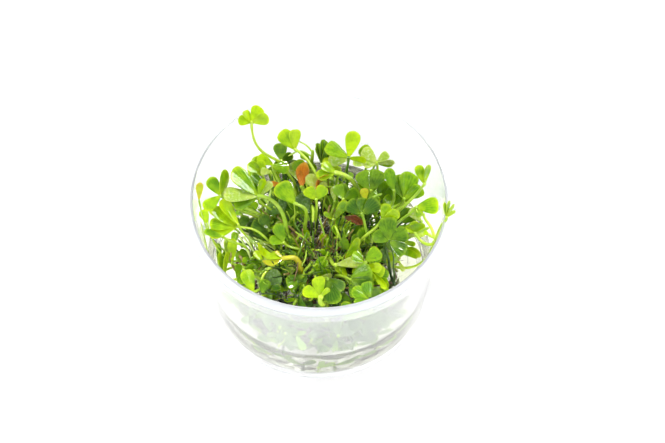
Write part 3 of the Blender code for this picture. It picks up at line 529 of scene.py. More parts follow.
plantlets = [
    plantlet("tallClover", "bright", (-9, 15), [
        stalk((-25, 31.8, 66), [(-40, 5, 45, "cupped"), (-80, 5, 10), (28, 6.4, 0), (72, 6.4, 25)],
              neck=(-0.9, -11.4, -17.4), heel=(2.1, 25.9, 11.5), wide=0.95)], age=0),
    plantlet("bigRoundLeaf", "bright", (-5.5, 3), [
        stalk((-9.3, 4.8, 52), [(-40, 9.2, 0)], neck=(7, -2, -1), thick=1.15, wide=0.95)], age=0.65),
    plantlet("fanClover", "bright", (-12, 0), [
        stalk((-22.9, 9.1, 50), [(-46, 13.2, 20), (-90, 12.5, 35, "plain", "pale"),
                                (-118, 9.5, 30, "plain", "dark"), (12, 6.5, 40)],
              neck=(10, -1, 1), thick=1.35, wide=0.60)]),
    plantlet("heartAtTheBack", "bright", (3, 16), [
        stalk((-9.4, 30, 50), [(-38, 8.5, 0), (-4, 7.5, 30)], neck=(6, -1, -3))], age=0.1),
    plantlet("spoonAtTheBack", "bright", (10, 23), [
        stalk((11.1, 26.4, 50), [(13, 9.8, 0), (-62, 9.4, 10, "pleated", "green"), (95, 6.5, 45)],
              neck=(0, -1, -10), wide=0.7)], stem="darkStalk", age=0.15),
    plantlet("leftClover", "bright", (-18, 7.5), [
        stalk((-36.8, 9.2, 50.5), [(4, 9.4, 65), (-33, 7.6, 0), (-130, 7.6, 10)],
              neck=(5, -2, -6), wide=0.75)]),
    plantlet("paleCloverAtTheBack", "pale", (18, 15), [
        stalk((21.7, 25.5, 48), [(-45, 7.2, 0), (45, 5.6, 30), (82, 6.5, 60), (-100, 5, 20)],
              neck=(2, -3, -6))]),
    plantlet("rabbitEars", "bright", (25, 4), [
        stalk((39.1, 9.6, 58), [(-22, 7.2, 15), (8, 7.2, 50)], neck=(-4, -2, -9), wide=0.62)]),
    plantlet("rightRoundLeaf", "bright", (24.5, 0), [
        stalk((35.9, 2.6, 53), [(84, 8.2, 0), (150, 4, 35)], neck=(-3, -1, -8), wide=0.9),
        stalk((31, -3.2, 38), [(55, 6.2, 35), (100, 5.4, 35), (20, 4.6, 45)], wide=0.55)], age=0.8),
    plantlet("climbingPlantlet", "bright", (26, -7), [
        stalk((43.2, -9, 48), [], foot=(27.5, -7.2, 26.2), heel=(8, -2, -1),
              neck=(-0.8, -0.8, -14), thick=0.8),
        stalk((45.8, -11, 68), [(-14, 5.4, 55), (4, 6, 55), (24, 5.4, 55), (48, 4, 40)],
              foot=(43.2, -9, 47.5), neck=(0, 0.3, -7), wide=0.5),
        stalk((38.6, 0.8, 51), [(-50, 3.6, 30)], foot=(43.2, -9, 47.5), neck=(0.8, -3, -3)),
        stalk((35.6, -2.5, 43), [(-72, 4.6, 50), (62, 5.6, 55)], foot=(43.1, -9, 47),
              neck=(2, -4, -3), wide=0.5),
        stalk((40.6, -7.6, 50), [(-60, 2.4, 0)], foot=(43.2, -9, 47), neck=(-1, 1, -2),
              wide=0.9)], age=0.2),
    plantlet("largeDarkClover", "dark", (28.5, -13), [
        stalk((25.9, -6.4, 44), [(-5, 8.6, 0), (62, 7.4, 0), (-68, 6.4, 10), (122, 7.2, 15)],
              neck=(2, -4, -7), thick=0.55, wide=0.95)], stem="darkStalk"),
    plantlet("roundLeafByTheFront", "dark", (6, -15), [
        stalk((11.8, -20, 38), [(62, 8.4, 0), (108, 8.6, 0), (152, 7, 10)],
              neck=(-3, 3, -2), wide=0.95)]),
    plantlet("glossyFrontLeaf", "dark", (-1, -19), [
        stalk((3.3, -21.9, 42), [(163, 9.2, 0), (118, 7, 20)], neck=(-2, 3, -3), wide=0.8)], age=0.9),
    plantlet("funnelAtTheFront", "bright", (3, -25.5), [
        stalk((0.7, -29, 42), [(-10, 7.4, 15), (-66, 6.8, 0), (38, 4.4, 50)],
              neck=(-1.5, -3, -8), thick=1.7)], age=0.1),
    plantlet("heartOnTheRight", "bright", (14, -3), [
        stalk((23.5, 0.1, 48), [(18, 6.2, 20), (64, 6.8, 20)], neck=(-3, -3, -7))], turn=1),
    plantlet("bluishClover", "dark", (19.5, -2), [
        stalk((15.8, 2.9, 48), [(-52, 6.8, 0), (50, 7.6, 10), (-2, 6, 25)],
              neck=(2, -3, -8), wide=0.95)], age=0.9),
    plantlet("twinLeaves", "bright", (-1, 6), [
        stalk((-1.1, 7.8, 50), [(-40, 5.6, 0), (32, 5.8, 0)], neck=(0.5, -2, -8), wide=0.95)], age=0.5),
    plantlet("spoonOnTheRight", "green", (24, 10), [
        stalk((28, 13, 48), [(-15, 8.4, 0)], neck=(1, -3, -8), wide=0.6)]),
    plantlet("archingStalk", "bright", (16, 18), [
        stalk((6, 22.6, 45), [(-58, 6.2, 20), (-102, 7.2, 30)], neck=(7, -2.5, 3), thick=1.6)]),
    plantlet("pleatedFan", "green", (22, 12.5), [
        stalk((31.9, 11.5, 44),
              [(-22, 9.2, 10, "pleated"), (16, 9.8, 10, "pleated"), (60, 7.8, 25, "pleated")],
              neck=(-2, -2, -8), wide=0.9)], turn=3),
    plantlet("roundOnTheLeft", "teal", (-10, -8.5), [
        stalk((-21.2, -18.7, 32), [(62, 7.6, 0)], neck=(-1, 6, 7), wide=0.95)]),
    plantlet("frontLeftLeaf", "bright", (-15, -14), [
        stalk((-24.9, -21.7, 32), [(-20, 8.6, 10), (-75, 5, 30)], wide=0.7)], turn=2),
    plantlet("sidewaysClover", "bright", (-16.5, -2), [
        stalk((-31, 0.5, 42), [(-54, 10.8, 20), (-84, 10, 20), (-106, 10.4, 15)],
              neck=(6, -1, 2), thick=0.75, wide=0.55)]),
    plantlet("yellowLeafAtTheLeft", "yellow", (-21, -4.5), [
        stalk((-43.8, 0.6, 61), [(0, 6.4, 30)], neck=(1.5, -1.5, -25), heel=(-18, 0.5, -2),
              thick=0.6, wide=0.55)]),
    plantlet("ovalLeafAtTheLeft", "bright", (-21, -7), [
        stalk((-41.2, -2, 49), [(-20, 5.4, 0)], neck=(1, -1, -14), heel=(-16, 0, -2), thick=0.6, wide=0.8)]),
    plantlet("uprightLeaf", "bright", (-19, -9), [
        stalk((-33, -8.4, 31), [(0, 8.8, 15)], neck=(3, -1, -4), wide=0.5)]),
    plantlet("narrowPair", "bright", (-21.5, -12.5), [
        stalk((-36, -13, 29), [(-10, 10, 60), (6, 10.2, 65)], neck=(3, 0, -3), wide=0.5)], turn=7),
    plantlet("droopingDarkLeaf", "dark", (-19.5, -16), [
        stalk((-28.5, -12.5, 33), [(190, 5.4, 0), (70, 5, 30)], wide=0.8)]),
    plantlet("archingYellowLeaf", "yellow", (-7, -12.5), [
        stalk((-13.6, -11, 38.5), [(-84, 9.6, 40, "curled", "bright"), (-118, 7, 30, "curled"),
                                     (-50, 4, 20)],
              neck=(4.5, 0, 1.5), heel=(1, 2, 6), thick=1.7, wide=0.45)], stem="yellowStalk"),
    plantlet("paleLeafInTheMiddle", "pale", (-6, -4), [
        stalk((-13.1, -2.4, 38), [(-14, 7.4, 10, "plain", "green"), (-70, 5.6, 20, "plain", "green")],
              neck=(2, -2, -4))], turn=10, age=0.4),
    plantlet("tealClover", "dark", (-12, 6), [
        stalk((-18.9, 2, 37), [(-70, 7, 10), (-30, 6.4, 20), (-112, 6, 10)], wide=0.9),
        stalk((-8, 9.5, 38), [(-20, 6.4, 15), (70, 6.6, 25)], wide=0.9)]),
    plantlet("darkRoundLeaf", "dark", (-3, -8), [
        stalk((-6, -16, 34), [(-122, 6.8, 0)], neck=(1, 3, -2), wide=0.95)]),
    plantlet("triangularLeaf", "green", (-5, -14), [
        stalk((-2.2, -13.5, 34), [(48, 6.8, 10), (102, 7, 30)], neck=(-2, -1, -3))]),
    plantlet("leafByTheBend", "bright", (7, -11.5), [
        stalk((17.5, -13.3, 37), [(112, 7.6, 0), (152, 6.4, 30)], neck=(-6, 1, 2), wide=0.7)]),
    plantlet("roundLeafOnTheRight", "green", (12, -8), [
        stalk((17.4, -13.6, 40), [(48, 6.8, 0), (-60, 5.6, 20)], wide=0.95)], age=0.3),
    plantlet("paleFrontLeaf", "pale", (3, -8), [
        stalk((6.7, -13.2, 38), [(74, 9.8, 15)], neck=(-1, 2, -5), thick=1.3, wide=0.55)], turn=-6, age=0),
    plantlet("brownTippedLeaf", "yellow", (7, -6), [
        stalk((9.6, -10.8, 36), [(28, 9.6, 35, "folded", "bright"), (20, 5, 50)], wide=0.45)]),
    plantlet("deadLeaf", "dead", (8, 6), [
        stalk((9.1, 5.5, 41), [(96, 7.6, 25, "withered")], wide=0.6)]),
    plantlet("brightLeafInTheMiddle", "bright", (4, 2.5), [
        stalk((5.6, 4, 42), [(32, 8.2, 25), (-58, 4.6, 40)], wide=0.6)]),
    plantlet("orangeLeaf", "orange", (-3, 12.5), [
        stalk((-6.8, 18.5, 42), [(2, 8.6, 10, "withered")], wide=0.75)]),
    plantlet("orangeEdgedLeaf", "pale", (4, 12), [
        stalk((-0.4, 18, 41), [(-22, 6.8, 15), (12, 6.4, 55, "curled", "orange"), (50, 4.6, 30)])],
             turn=7),
    plantlet("translucentLeaf", "pale", (-5, 18), [
        stalk((-6.4, 23.4, 37), [(-18, 8.8, 0), (50, 6.6, 15)], wide=0.95)]),
    plantlet("darkLeafAtTheBack", "dark", (-8, 22), [
        stalk((-14.4, 29, 44), [(-6, 6.6, 0), (55, 4.8, 30)], wide=0.95)]),
    plantlet("foldedCloverAtTheBack", "dark", (4.5, 21.5), [
        stalk((1.1, 27.6, 44),
              [(-18, 7.8, 55, "pleated"), (0, 8.8, 50, "pleated"), (20, 7.4, 45, "pleated")], wide=0.7)]),
    plantlet("cloverAtTheBack", "bright", (-12.5, 19), [
        stalk((-20, 26.8, 41), [(-54, 6.8, 20), (-92, 7.2, 10), (84, 5.4, 0), (130, 5.4, 20)],
              wide=0.9)]),
    plantlet("pinkBud", "orange", (-9.5, 9.5), [
        stalk((-13.6, 19, 44), [(-82, 4, 0)], wide=0.65)], turn=6),
    plantlet("darkWedgeLeaf", "dark", (-14.5, 12), [
        stalk((-21.5, 17.5, 36), [(-48, 7.8, 20), (-10, 7, 45)], wide=0.6)]),
    plantlet("darkCloverOnTheRight", "dark", (15, 11), [
        stalk((19.6, 15.5, 44), [(-26, 8, 0), (22, 8.2, 0), (165, 6.4, 15)], wide=0.95),
        stalk((9, 11, 45), [(-30, 6, 15), (60, 6.4, 20)], wide=0.9)]),
    plantlet("curledLeafOnTheRight", "bright", (21.5, -7.5), [
        stalk((30, -4.8, 34), [(84, 8, 30, "curled"), (-130, 6.2, 0)], wide=0.6)], age=0),
    plantlet("diagonalLeaf", "green", (14, -14), [
        stalk((20.2, -16.5, 33), [(134, 9.2, 25), (172, 5.4, 10)], wide=0.5)]),
    plantlet("smallFrontLeaf", "bright", (7.5, -21.5), [
        stalk((10.5, -32.5, 33.5), [(-8, 5, 0), (40, 4.6, 20)])], age=0.9),
    plantlet("frontRightLeaf", "green", (15.5, -23), [
        stalk((18.6, -29.1, 40), [(-60, 7.2, 0, "pleated"), (-14, 6.4, 10, "pleated"), (-112, 6.2, 0)])],
             turn=2, stem="darkStalk", age=0.9),
    plantlet("leafByTheFrontWall", "teal", (18.5, -22), [
        stalk((19.6, -35.5, 29), [(5, 7.6, 0)], wide=0.9)]),
    plantlet("lowLeafByTheFrontWall", "teal", (9.5, -26.5), [
        stalk((7, -38, 29), [(-15, 7.6, 0), (60, 6.2, 10)], wide=0.9)]),
    plantlet("lowLeafAtTheFrontLeft", "teal", (-8, -22), [
        stalk((-14.5, -34, 28), [(-20, 7.4, 0), (45, 6.6, 10)], wide=0.9)]),
]

fineGrid = (26, 9, 24, 13)   # steps and sides of a stalk, columns and rows of a leaflet
plainGrid = (14, 7, 16, 9)
lowGrid = (11, 6, 12, 7)

stalkSet = {
    "footRadius": 0.70,
    "tipRadius": 0.48,
    "knot": 1.25,      # swelling where the leaflets meet, as a share of the tip's radius
    "heelRise": 0.62,
    "neckReach": 0.28,
    "neckRise": 0.3,
    "wander": 0.25,
    "rootDepths": (4.5, 3.0, 1.5),  # points of the part under the foot, and their radii as shares
    "rootRadii": (0.6, 0.85, 1.0),
}
cupSet = {
    "height": 65.0, "rim": 50.0, "mouth": 46.0, "foot": 41.5, "wall": 0.9, "flange": 1.2,
    "skirt": 5.0, "skirtWall": 0.8, "baseRaise": 3.2, "basePlate": 1.2, "ring": 2.8, "steps": 160,
}
gelSet = {"top": 21.5, "meniscus": 0.7, "creep": 1.3, "low": 4.6, "corner": 1.2, "bite": 0.15, "steps": 160}
matSet = {"radius": 33.0, "rim": 0.2, "crown": 8.5, "shoulder": 2.5, "lobes": 5, "lobeHeight": 0.7,
          "edge": 33.5, "footRise": 0.8}  # further out than the edge, a foot stands on the gel itself


def matTop(x, y):
    away = min(1, math.hypot(x, y) / matSet["radius"])
    lobes = matSet["lobeHeight"] * math.sin(matSet["lobes"] * math.atan2(y, x)) * math.sin(math.pi * away)
    return gelSet["top"] + matSet["rim"] + matSet["crown"] * (1 - away ** matSet["shoulder"]) + lobes


def ground(x, y):
    return (matTop(x, y) if math.hypot(x, y) < matSet["edge"] else gelSet["top"]) + matSet["footRise"]


# A stalk's path from its foot to its tip, with a little wander between them.
def stalkPath(foot, one, rng, steps):
    start, tip = np.array(foot, float), np.array(one["tip"], float)
    rise = tip[2] - start[2]
    out = np.array([tip[0] - start[0], tip[1] - start[1], 0])
    heel = np.array(one["heel"] or (0, 0, stalkSet["heelRise"] * rise))
    neck = np.array(one["neck"] or -stalkSet["neckReach"] * out - (0, 0, stalkSet["neckRise"] * rise))
    path = handleCurve((start, start + heel, tip + neck, tip), steps)
    along = np.linspace(0, 1, steps)[:, None]
    bow = np.sin(along * math.pi)
    swing = rng.normal(0, 1, 3) * np.sin(along * 7.0) + rng.normal(0, 1, 3) * np.sin(along * 4.0)
    return path + swing * bow * stalkSet["wander"] * (1, 1, 0.4)


# Adds a stalk and its leaflets. A rooted one goes on down under its foot. finishes says where among the
# piece's materials each tint stands that a leaflet may name.
def growStalk(bunch, foot, one, rng, form, age, grid, finishes, rooted=True):
    steps, sides, columns, rows = grid
    path = stalkPath(foot, one, rng, steps)
    radii = np.linspace(stalkSet["footRadius"], stalkSet["tipRadius"], steps)
    if rooted:
        down = unit(unit(path[0] - path[1]) + (rng.normal(0, 0.5), rng.normal(0, 0.5), -1.5))
        path = np.concatenate([[path[0] + down * depth for depth in stalkSet["rootDepths"]], path])
        radii = np.concatenate([radii[0] * np.array(stalkSet["rootRadii"]), radii])
    radii = radii * one["thick"]
    radii[-2:] *= stalkSet["knot"]
    bunch.add(*tube(path, radii, sides), age)
    sink = unit(path[-3] - path[-1]) * leafSet["sink"]
    for turn, length, roll, *rest in one["leaves"]:
        shape = {**plainForm, **forms[rest[0] if rest else form]}
        finish = finishes[rest[1]] if len(rest) > 1 else 1
        verts, faces, lie = leafSheet(length * leafSet["scale"], one["wide"], shape, columns, rows, rng)
        verts = verts @ leafPlace(one["face"], turn, roll).T + one["tip"] + sink
        bunch.add(verts, faces, lie, np.clip(age + rng.normal(0, 0.15), 0, 1), finish)


# The stalk's finish, the plantlet's own tint, and any other tint that one of its leaflets names.
def tintsOf(one):
    tints = [one["tint"]]
    for part in one["stalks"]:
        tints += [leaf[4] for leaf in part["leaves"] if len(leaf) > 4 and leaf[4] not in tints]
    return tints


def makePlantlets(blades, stems):
    rng = np.random.default_rng(11)
    for one in plantlets:
        bunch = Bunch()
        base = (*one["foot"], ground(*one["foot"]))
        drawn = rng.uniform(0.15, 0.75)
        age = drawn if one["age"] is None else one["age"]
        tints = tintsOf(one)
        finishes = {tint: i + 1 for i, tint in enumerate(tints)}
        for part in one["stalks"]:
            rooted = part["foot"] is None
            growStalk(bunch, part["foot"] or base, part, rng, "plain", age, fineGrid, finishes, rooted)
        spin = np.array(Matrix.Rotation(math.radians(one["turn"]), 3, "Z"))
        bunch.verts = [(verts - base) @ spin.T + base for verts in bunch.verts]
        materials = [stems[one["stem"]]] + [blades[tint] for tint in tints]
        made = bunch.piece(one["name"], materials)
        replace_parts(made, nodeName(one["name"]))


def nodeName(name):
    return re.sub("([A-Z])", lambda found: "_" + found.group(1).lower(), name)


# Turns a closed section of (radius, height) points about the Z axis; points on the axis are one vertex.
# What lies higher than rimFrom takes the second material.
def turnedPiece(name, section, steps, materials, rimFrom=math.inf):
    turn = np.linspace(0, 2 * math.pi, steps, endpoint=False)
    verts, rings = [], []
    for radius, height in section:
        if radius < 1e-6:
            rings.append([len(verts)] * steps)
            verts.append((0, 0, height))
        else:
            rings.append(list(range(len(verts), len(verts) + steps)))
            verts += [(radius * math.cos(a), radius * math.sin(a), height) for a in turn]
    faces, finish = [], []
    for low, high in zip(rings, rings[1:] + rings[:1]):
        for k in range(steps):
            after = (k + 1) % steps
            corners = tuple(dict.fromkeys((low[k], low[after], high[after], high[k])))
            if len(corners) > 2:
                faces.append(corners)
                finish.append(int(min(verts[corner][2] for corner in corners) > rimFrom))
    bunch = Bunch()
    bunch.add(np.array(verts, float), faces, np.zeros((len(verts), 2)), 0.5, finish)
    return bunch.piece(name, materials, crease=40)


# Rounds the corners of a section: each corner is (radius, height, rounding).
def roundedSection(corners, arcSteps=4):
    points = []
    count = len(corners)
    for i, (x, y, rounding) in enumerate(corners):
        here = np.array((x, y))
        if rounding == 0:
            points.append((x, y))
            continue
        before = unit(np.array(corners[i - 1][:2]) - here) * rounding
        after = unit(np.array(corners[(i + 1) % count][:2]) - here) * rounding
        for t in np.linspace(0, 1, arcSteps + 1):
            points.append(tuple(here + before * (1 - t) ** 2 + after * t**2))
    return points


def wallOuter(z):
    reach = cupSet["mouth"] + cupSet["wall"] - cupSet["foot"]
    return cupSet["foot"] + reach * z / (cupSet["height"] - cupSet["flange"])


def makeCup():
    top, rim, wall = cupSet["height"], cupSet["rim"], cupSet["wall"]
    under = top - cupSet["flange"]
    inRim = rim - cupSet["skirtWall"]
    ringIn = cupSet["foot"] - cupSet["ring"]
    plate = cupSet["baseRaise"] + cupSet["basePlate"]
    section = roundedSection([
        (rim - 0.1, top, 0.5), (rim, top - cupSet["skirt"], 0.25), (inRim, top - cupSet["skirt"], 0.25),
        (inRim, under, 0.3), (wallOuter(under), under, 0.4), (cupSet["foot"], 0, 0.7),
        (ringIn, 0, 0.4), (ringIn - 0.4, cupSet["baseRaise"], 0.6), (0, cupSet["baseRaise"], 0),
        (0, plate, 0), (wallOuter(plate) - wall, plate, 1.2), (cupSet["mouth"] - 0.05, top, 1.3),
    ])
    materials = [clearMaterial("clearPlastic"), clearMaterial("milkyShadedRim")]
    cup = turnedPiece("clearCup", section[::-1], cupSet["steps"], materials, under - 0.1)
    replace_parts(cup, "cup")
    cup.visible_shadow = False


def makeGel():
    top, low, corner, rise = (gelSet[key] for key in ("top", "low", "corner", "meniscus"))
    inner = wallOuter(top) - cupSet["wall"] + gelSet["bite"]
    foot = wallOuter(low) - cupSet["wall"] + gelSet["bite"]
    section = [(0, low), (foot - corner, low), (foot - 0.35, low + 0.35), (foot, low + corner)]
    section.append((inner, top + rise))
    for step in np.linspace(0, 1, 8)[1:]:
        section.append((inner - gelSet["creep"] * step, top + rise * (1 - step) ** 2.4))
    section += [(30, top), (15, top), (0, top)]
    materials = [clearMaterial("nutrientGel")]
    gel = turnedPiece("nutrientGelDisc", section, gelSet["steps"], materials)
    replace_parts(gel, "gel")
    gel.visible_shadow = False


# Where the plants grow, seen from above, round the crown and out to the front wall.
growthOutline = [(-34, 2), (-31, 18), (-20, 27), (0, 29), (18, 27), (30, 18), (33, 4), (25, -3), (22, -10),
                 (27, -18), (25, -30), (14, -40), (-14, -40), (-27, -30), (-31, -17), (-34, -7)]


def insideOutline(x, y, outline):
    inside = False
    for (ax, ay), (bx, by) in zip(outline, outline[1:] + outline[:1]):
        if (ay > y) != (by > y) and x < (bx - ax) * (y - ay) / (by - ay) + ax:
            inside = not inside
    return inside


# Places kept free of lumps of root and of low leaves, then places kept free of low leaves alone, and last
# the middle, where stems and roots show. Each is a circle: x, y and radius.
openings = [(-3.4, 1.5, 3.0), (12.9, 8.0, 3.0), (1.5, 19.0, 2.4), (9.0, -19.5, 2.6), (28.7, -6.0, 3.4),
            (32.3, -11.5, 5.0), (-7.4, 30.0, 3.0), (-28.0, 0.0, 2.6), (-21.0, 24.0, 2.0), (-25.5, 15.0, 4.5),
            (-26.0, 6.0, 4.5), (27.0, -15.0, 5.0), (33.0, 3.0, 4.0)]
bare = [(4.0, -13.0, 5.5), (-8.0, -11.0, 4.5), (-24.0, 5.0, 6.0), (-31.0, -8.0, 5.5), (-23.0, -14.0, 4.5)]
middle = (0.0, 4.0, 8.5)


growthBox = {"across": (-35, 34), "back": (-40, 30)}  # holds the whole outline


def growthPoint(rng, free):
    while True:
        x, y = rng.uniform(*growthBox["across"]), rng.uniform(*growthBox["back"])
        if insideOutline(x, y, growthOutline):
            if all(math.hypot(x - cx, y - cy) > radius for cx, cy, radius in free):
                return x, y


def pulledIn(point, farthest):
    away = math.hypot(point[0], point[1])
    return point * (farthest / away, farthest / away, 1) if away > farthest else point


rootSet = {
    "threads": 620, "reach": 27.0, "frontReach": 1.4, "farthest": 34.0, "low": 7.0, "start": (-4.5, 1.6),
    "above": 1.2, "divers": 0.35, "dive": 0.22, "wander": 0.38, "step": (0.9, 1.5), "steps": 14, "sides": 5,
    "radius": (0.12, 0.30), "ages": [0.0, 0.6, 0.9, 1.0],
}


# Thin roots that wander through the mat and hang into the gel.
def makeRoots(stems):
    rng = np.random.default_rng(23)
    bunch = Bunch()
    for _ in range(rootSet["threads"]):
        away = rootSet["reach"] * math.sqrt(rng.uniform(0, 1))
        side = rng.uniform(0, 2 * math.pi)
        x, y = away * math.cos(side), away * math.sin(side)
        if side > math.pi:
            y *= rootSet["frontReach"]
        point = np.array([x, y, matTop(x, y) + rng.uniform(*rootSet["start"])])
        way = unit(rng.normal(0, 1, 3) * (1, 1, 0.35))
        dive = rootSet["dive"] if rng.uniform() < rootSet["divers"] else 0.0
        path = [point]
        for _ in range(rootSet["steps"] - 1):
            way = unit(way + rng.normal(0, rootSet["wander"], 3) * (1, 1, 0.6) - (0, 0, dive))
            point = pulledIn(point + way * rng.uniform(*rootSet["step"]), rootSet["farthest"])
            highest = matTop(point[0], point[1]) + rootSet["above"]
            point[2] = min(max(point[2], rootSet["low"]), highest)
            path.append(point)
        radii = rng.uniform(*rootSet["radius"]) * np.linspace(1.0, 0.45, len(path))
        bunch.add(*tube(path, radii, rootSet["sides"]), rng.choice(rootSet["ages"]))
    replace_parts(bunch.piece("rootThreads", [stems["root"]]), "root_mat")


bedSet = {"clumps": 150, "reach": 30.0, "size": (1.0, 1.8), "depth": (3.4, 6.4), "steps": 18, "rings": 9}


# The dark heart of the tangle: lumps, each an uneven ball of rings round the Z axis.
def makeRootBed(stems):
    rng = np.random.default_rng(5)
    bunch = Bunch()
    steps, rings = bedSet["steps"], bedSet["rings"]
    turn = np.linspace(0, 2 * math.pi, steps, endpoint=False)
    for _ in range(bedSet["clumps"]):
        x, y = growthPoint(rng, openings)
        while math.hypot(x, y) > bedSet["reach"] * rng.uniform(0.3, 1):
            x, y = growthPoint(rng, openings)
        size = rng.uniform(*bedSet["size"], 3) * (1.6, 1.6, 0.9)
        phases = rng.uniform(0, 2 * math.pi, 3)
        centre = np.array((x, y, matTop(x, y) - rng.uniform(*bedSet["depth"])))
        verts = [centre + (0, 0, size[2])]
        for tilt in np.linspace(0, math.pi, rings + 2)[1:-1]:
            rough = 1 + 0.22 * np.sin(3 * turn + phases[0] + 2 * tilt)
            rough += 0.13 * np.sin(7 * turn + phases[1] - 4 * tilt)
            heights = np.full(steps, math.cos(tilt))
            ball = np.stack([np.cos(turn) * math.sin(tilt), np.sin(turn) * math.sin(tilt), heights], 1)
            verts += list(centre + ball * size * rough[:, None])
        verts.append(centre - (0, 0, size[2]))
        last = len(verts) - 1
        faces = []
        for k in range(steps):
            after = (k + 1) % steps
            faces += [(0, 1 + k, 1 + after), (last, last - steps + after, last - steps + k)]
            for low in range(1, 1 + (rings - 1) * steps, steps):
                faces.append((low + k, low + steps + k, low + steps + after, low + after))
        verts = np.array(verts)
        bunch.add(verts, faces, verts[:, :2] * 0.01, 0.5)
    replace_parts(bunch.piece("rootBed", [stems["bed"]]), "root_mat")


sunkenSet = {"length": (3.0, 8.0), "bow": 1.5, "sink": 2.0, "steps": 9, "sides": 7}
# name, finish, count, half the sector, then the least and most distance from the axis, height and radius
sunkenFields = [
    # sunkenBits: stem bits in the gel whose dark olive colour is partly painted shade and reflection along
    # the front wall.
    ("sunkenBits", "sunken", 420, 68.0, (29.0, 36.2), (12.0, 21.2), (0.4, 1.1)),
    ("heartRoots", "root", 170, 180.0, (0.5, 14.0), (28.5, 32.5), (0.10, 0.28)),
    ("frontRoots", "root", 170, 48.0, (24.0, 34.0), (20.5, 26.5), (0.2, 0.6)),
    ("frontStems", "darkStalk", 60, 48.0, (24.0, 34.0), (20.5, 28.0), (0.3, 0.8)),
]


# Bits of stem and root: in the gel along the front wall, just over it, and in the heart of the crown. The
# dark olive bits in the gel along the front wall also stand in for the shade and plant reflections that
# darken the gel there: partly painted shade.
def makeSunken(stems):
    for name, finish, count, sector, across, tall, fat in sunkenFields:
        rng = np.random.default_rng(59)
        bunch = Bunch()
        for _ in range(count):
            side = math.radians(-90 + sector * rng.uniform(-1, 1))
            away = rng.uniform(*across)
            height = rng.uniform(*tall)
            reach = rng.uniform(*sunkenSet["length"]) / max(away, 4.0)
            bow = rng.uniform(-sunkenSet["bow"], sunkenSet["bow"])
            sink = rng.uniform(-sunkenSet["sink"], sunkenSet["sink"])
            path = []
            for t in np.linspace(-0.5, 0.5, sunkenSet["steps"]):
                a = side + reach * t
                z = height + sink * t + bow * (0.25 - t * t)
                path.append((away * math.cos(a), away * math.sin(a), z))
            radii = rng.uniform(*fat) * np.sin(np.linspace(0.25, math.pi - 0.25, len(path)))
            bunch.add(*tube(path, radii, sunkenSet["sides"]), rng.uniform(0, 1))
        bunch.piece(name, [stems[finish]])


runnerSet = {
    "runners": 46, "reach": 25.0, "farthest": 31.0, "wander": 0.22, "step": 1.1, "sunk": 0.4,
    "arch": (-0.8, 2.6), "steps": 18, "sides": 7, "radius": (0.40, 0.65),
}


# Creeping stems that lie on the mat, some of them arched up off it halfway.
def makeRunners(stems):
    rng = np.random.default_rng(31)
    bunch = Bunch()
    for _ in range(runnerSet["runners"]):
        away = runnerSet["reach"] * math.sqrt(rng.uniform(0, 1))
        side = rng.uniform(0, 2 * math.pi)
        point = np.array([away * math.cos(side), away * math.sin(side), 0.0])
        heading = rng.uniform(0, 2 * math.pi)
        path = []
        for _ in range(runnerSet["steps"]):
            heading += rng.normal(0, runnerSet["wander"])
            point = point + np.array([math.cos(heading), math.sin(heading), 0]) * runnerSet["step"]
            if math.hypot(point[0], point[1]) > runnerSet["farthest"]:
                point = pulledIn(point, runnerSet["farthest"])
                heading += 0.5
            height = matTop(point[0], point[1]) - runnerSet["sunk"] + rng.uniform(-0.15, 0.15)
            path.append((point[0], point[1], height))
        path = np.array(path)
        path[:, 2] += rng.uniform(*runnerSet["arch"]) * np.sin(np.linspace(0, math.pi, len(path)))
        radii = rng.uniform(*runnerSet["radius"]) * np.linspace(1, 0.8, len(path))
        bunch.add(*tube(path, radii, runnerSet["sides"]), rng.uniform(0, 1))
    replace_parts(bunch.piece("creepingStems", [stems["runner"]]), "root_mat")


lowSet = {
    "leaves": {"bright": 30, "dark": 84, "green": 44, "pale": 12, "teal": 14},
    "height": (1.5, 8.0),
    "length": (3.8, 6.6),
    "front": -17.0,     # teal leaves grow in front of this line, bright, green and pale ones behind it
    "nearWall": -26.0,  # in front of this one they rise less high
    "nearHeight": 0.6,
    "farthest": 37.0,
    "lean": 3.0,
    "outwards": 0.08,   # further lean for each millimetre from the middle
}


# Small leaflets on short stalks that fill the tangle under the tall ones.
def makeLowGrowth(blades, stems):
    rng = np.random.default_rng(47)
    free = openings + bare + [middle]
    for tint, count in lowSet["leaves"].items():
        bunch = Bunch()
        for _ in range(count):
            x, y = growthPoint(rng, free)
            while (y > lowSet["front"]) == (tint == "teal") and tint != "dark":
                x, y = growthPoint(rng, free)
            lean = rng.normal(0, lowSet["lean"], 2) + np.array([x, y]) * lowSet["outwards"]
            near = lowSet["nearHeight"] if y < lowSet["nearWall"] else 1.0
            rise = near * rng.uniform(*lowSet["height"])
            tip = pulledIn(np.array((x + lean[0], y + lean[1], matTop(x, y) + rise)), lowSet["farthest"])
            leaves = [(rng.uniform(-180, 180), rng.uniform(*lowSet["length"]), rng.normal(0, 25))
                      for _ in range(rng.integers(1, 3))]
            face = (rng.uniform(-150, -30), rng.uniform(30, 85))
            one = stalk(tip, leaves, face=face, thick=rng.uniform(0.5, 0.8), wide=rng.uniform(0.6, 0.95))
            form = rng.choice(["plain", "cupped", "folded", "drooping"])
            growStalk(bunch, (x, y, ground(x, y) - 0.6), one, rng, form, rng.uniform(0, 1), lowGrid, {})
        stem = stems["darkStalk"] if tint == "dark" else stems["stalk"]
        bunch.piece("low" + tint.capitalize() + "Leaves", [stem, blades[tint]])


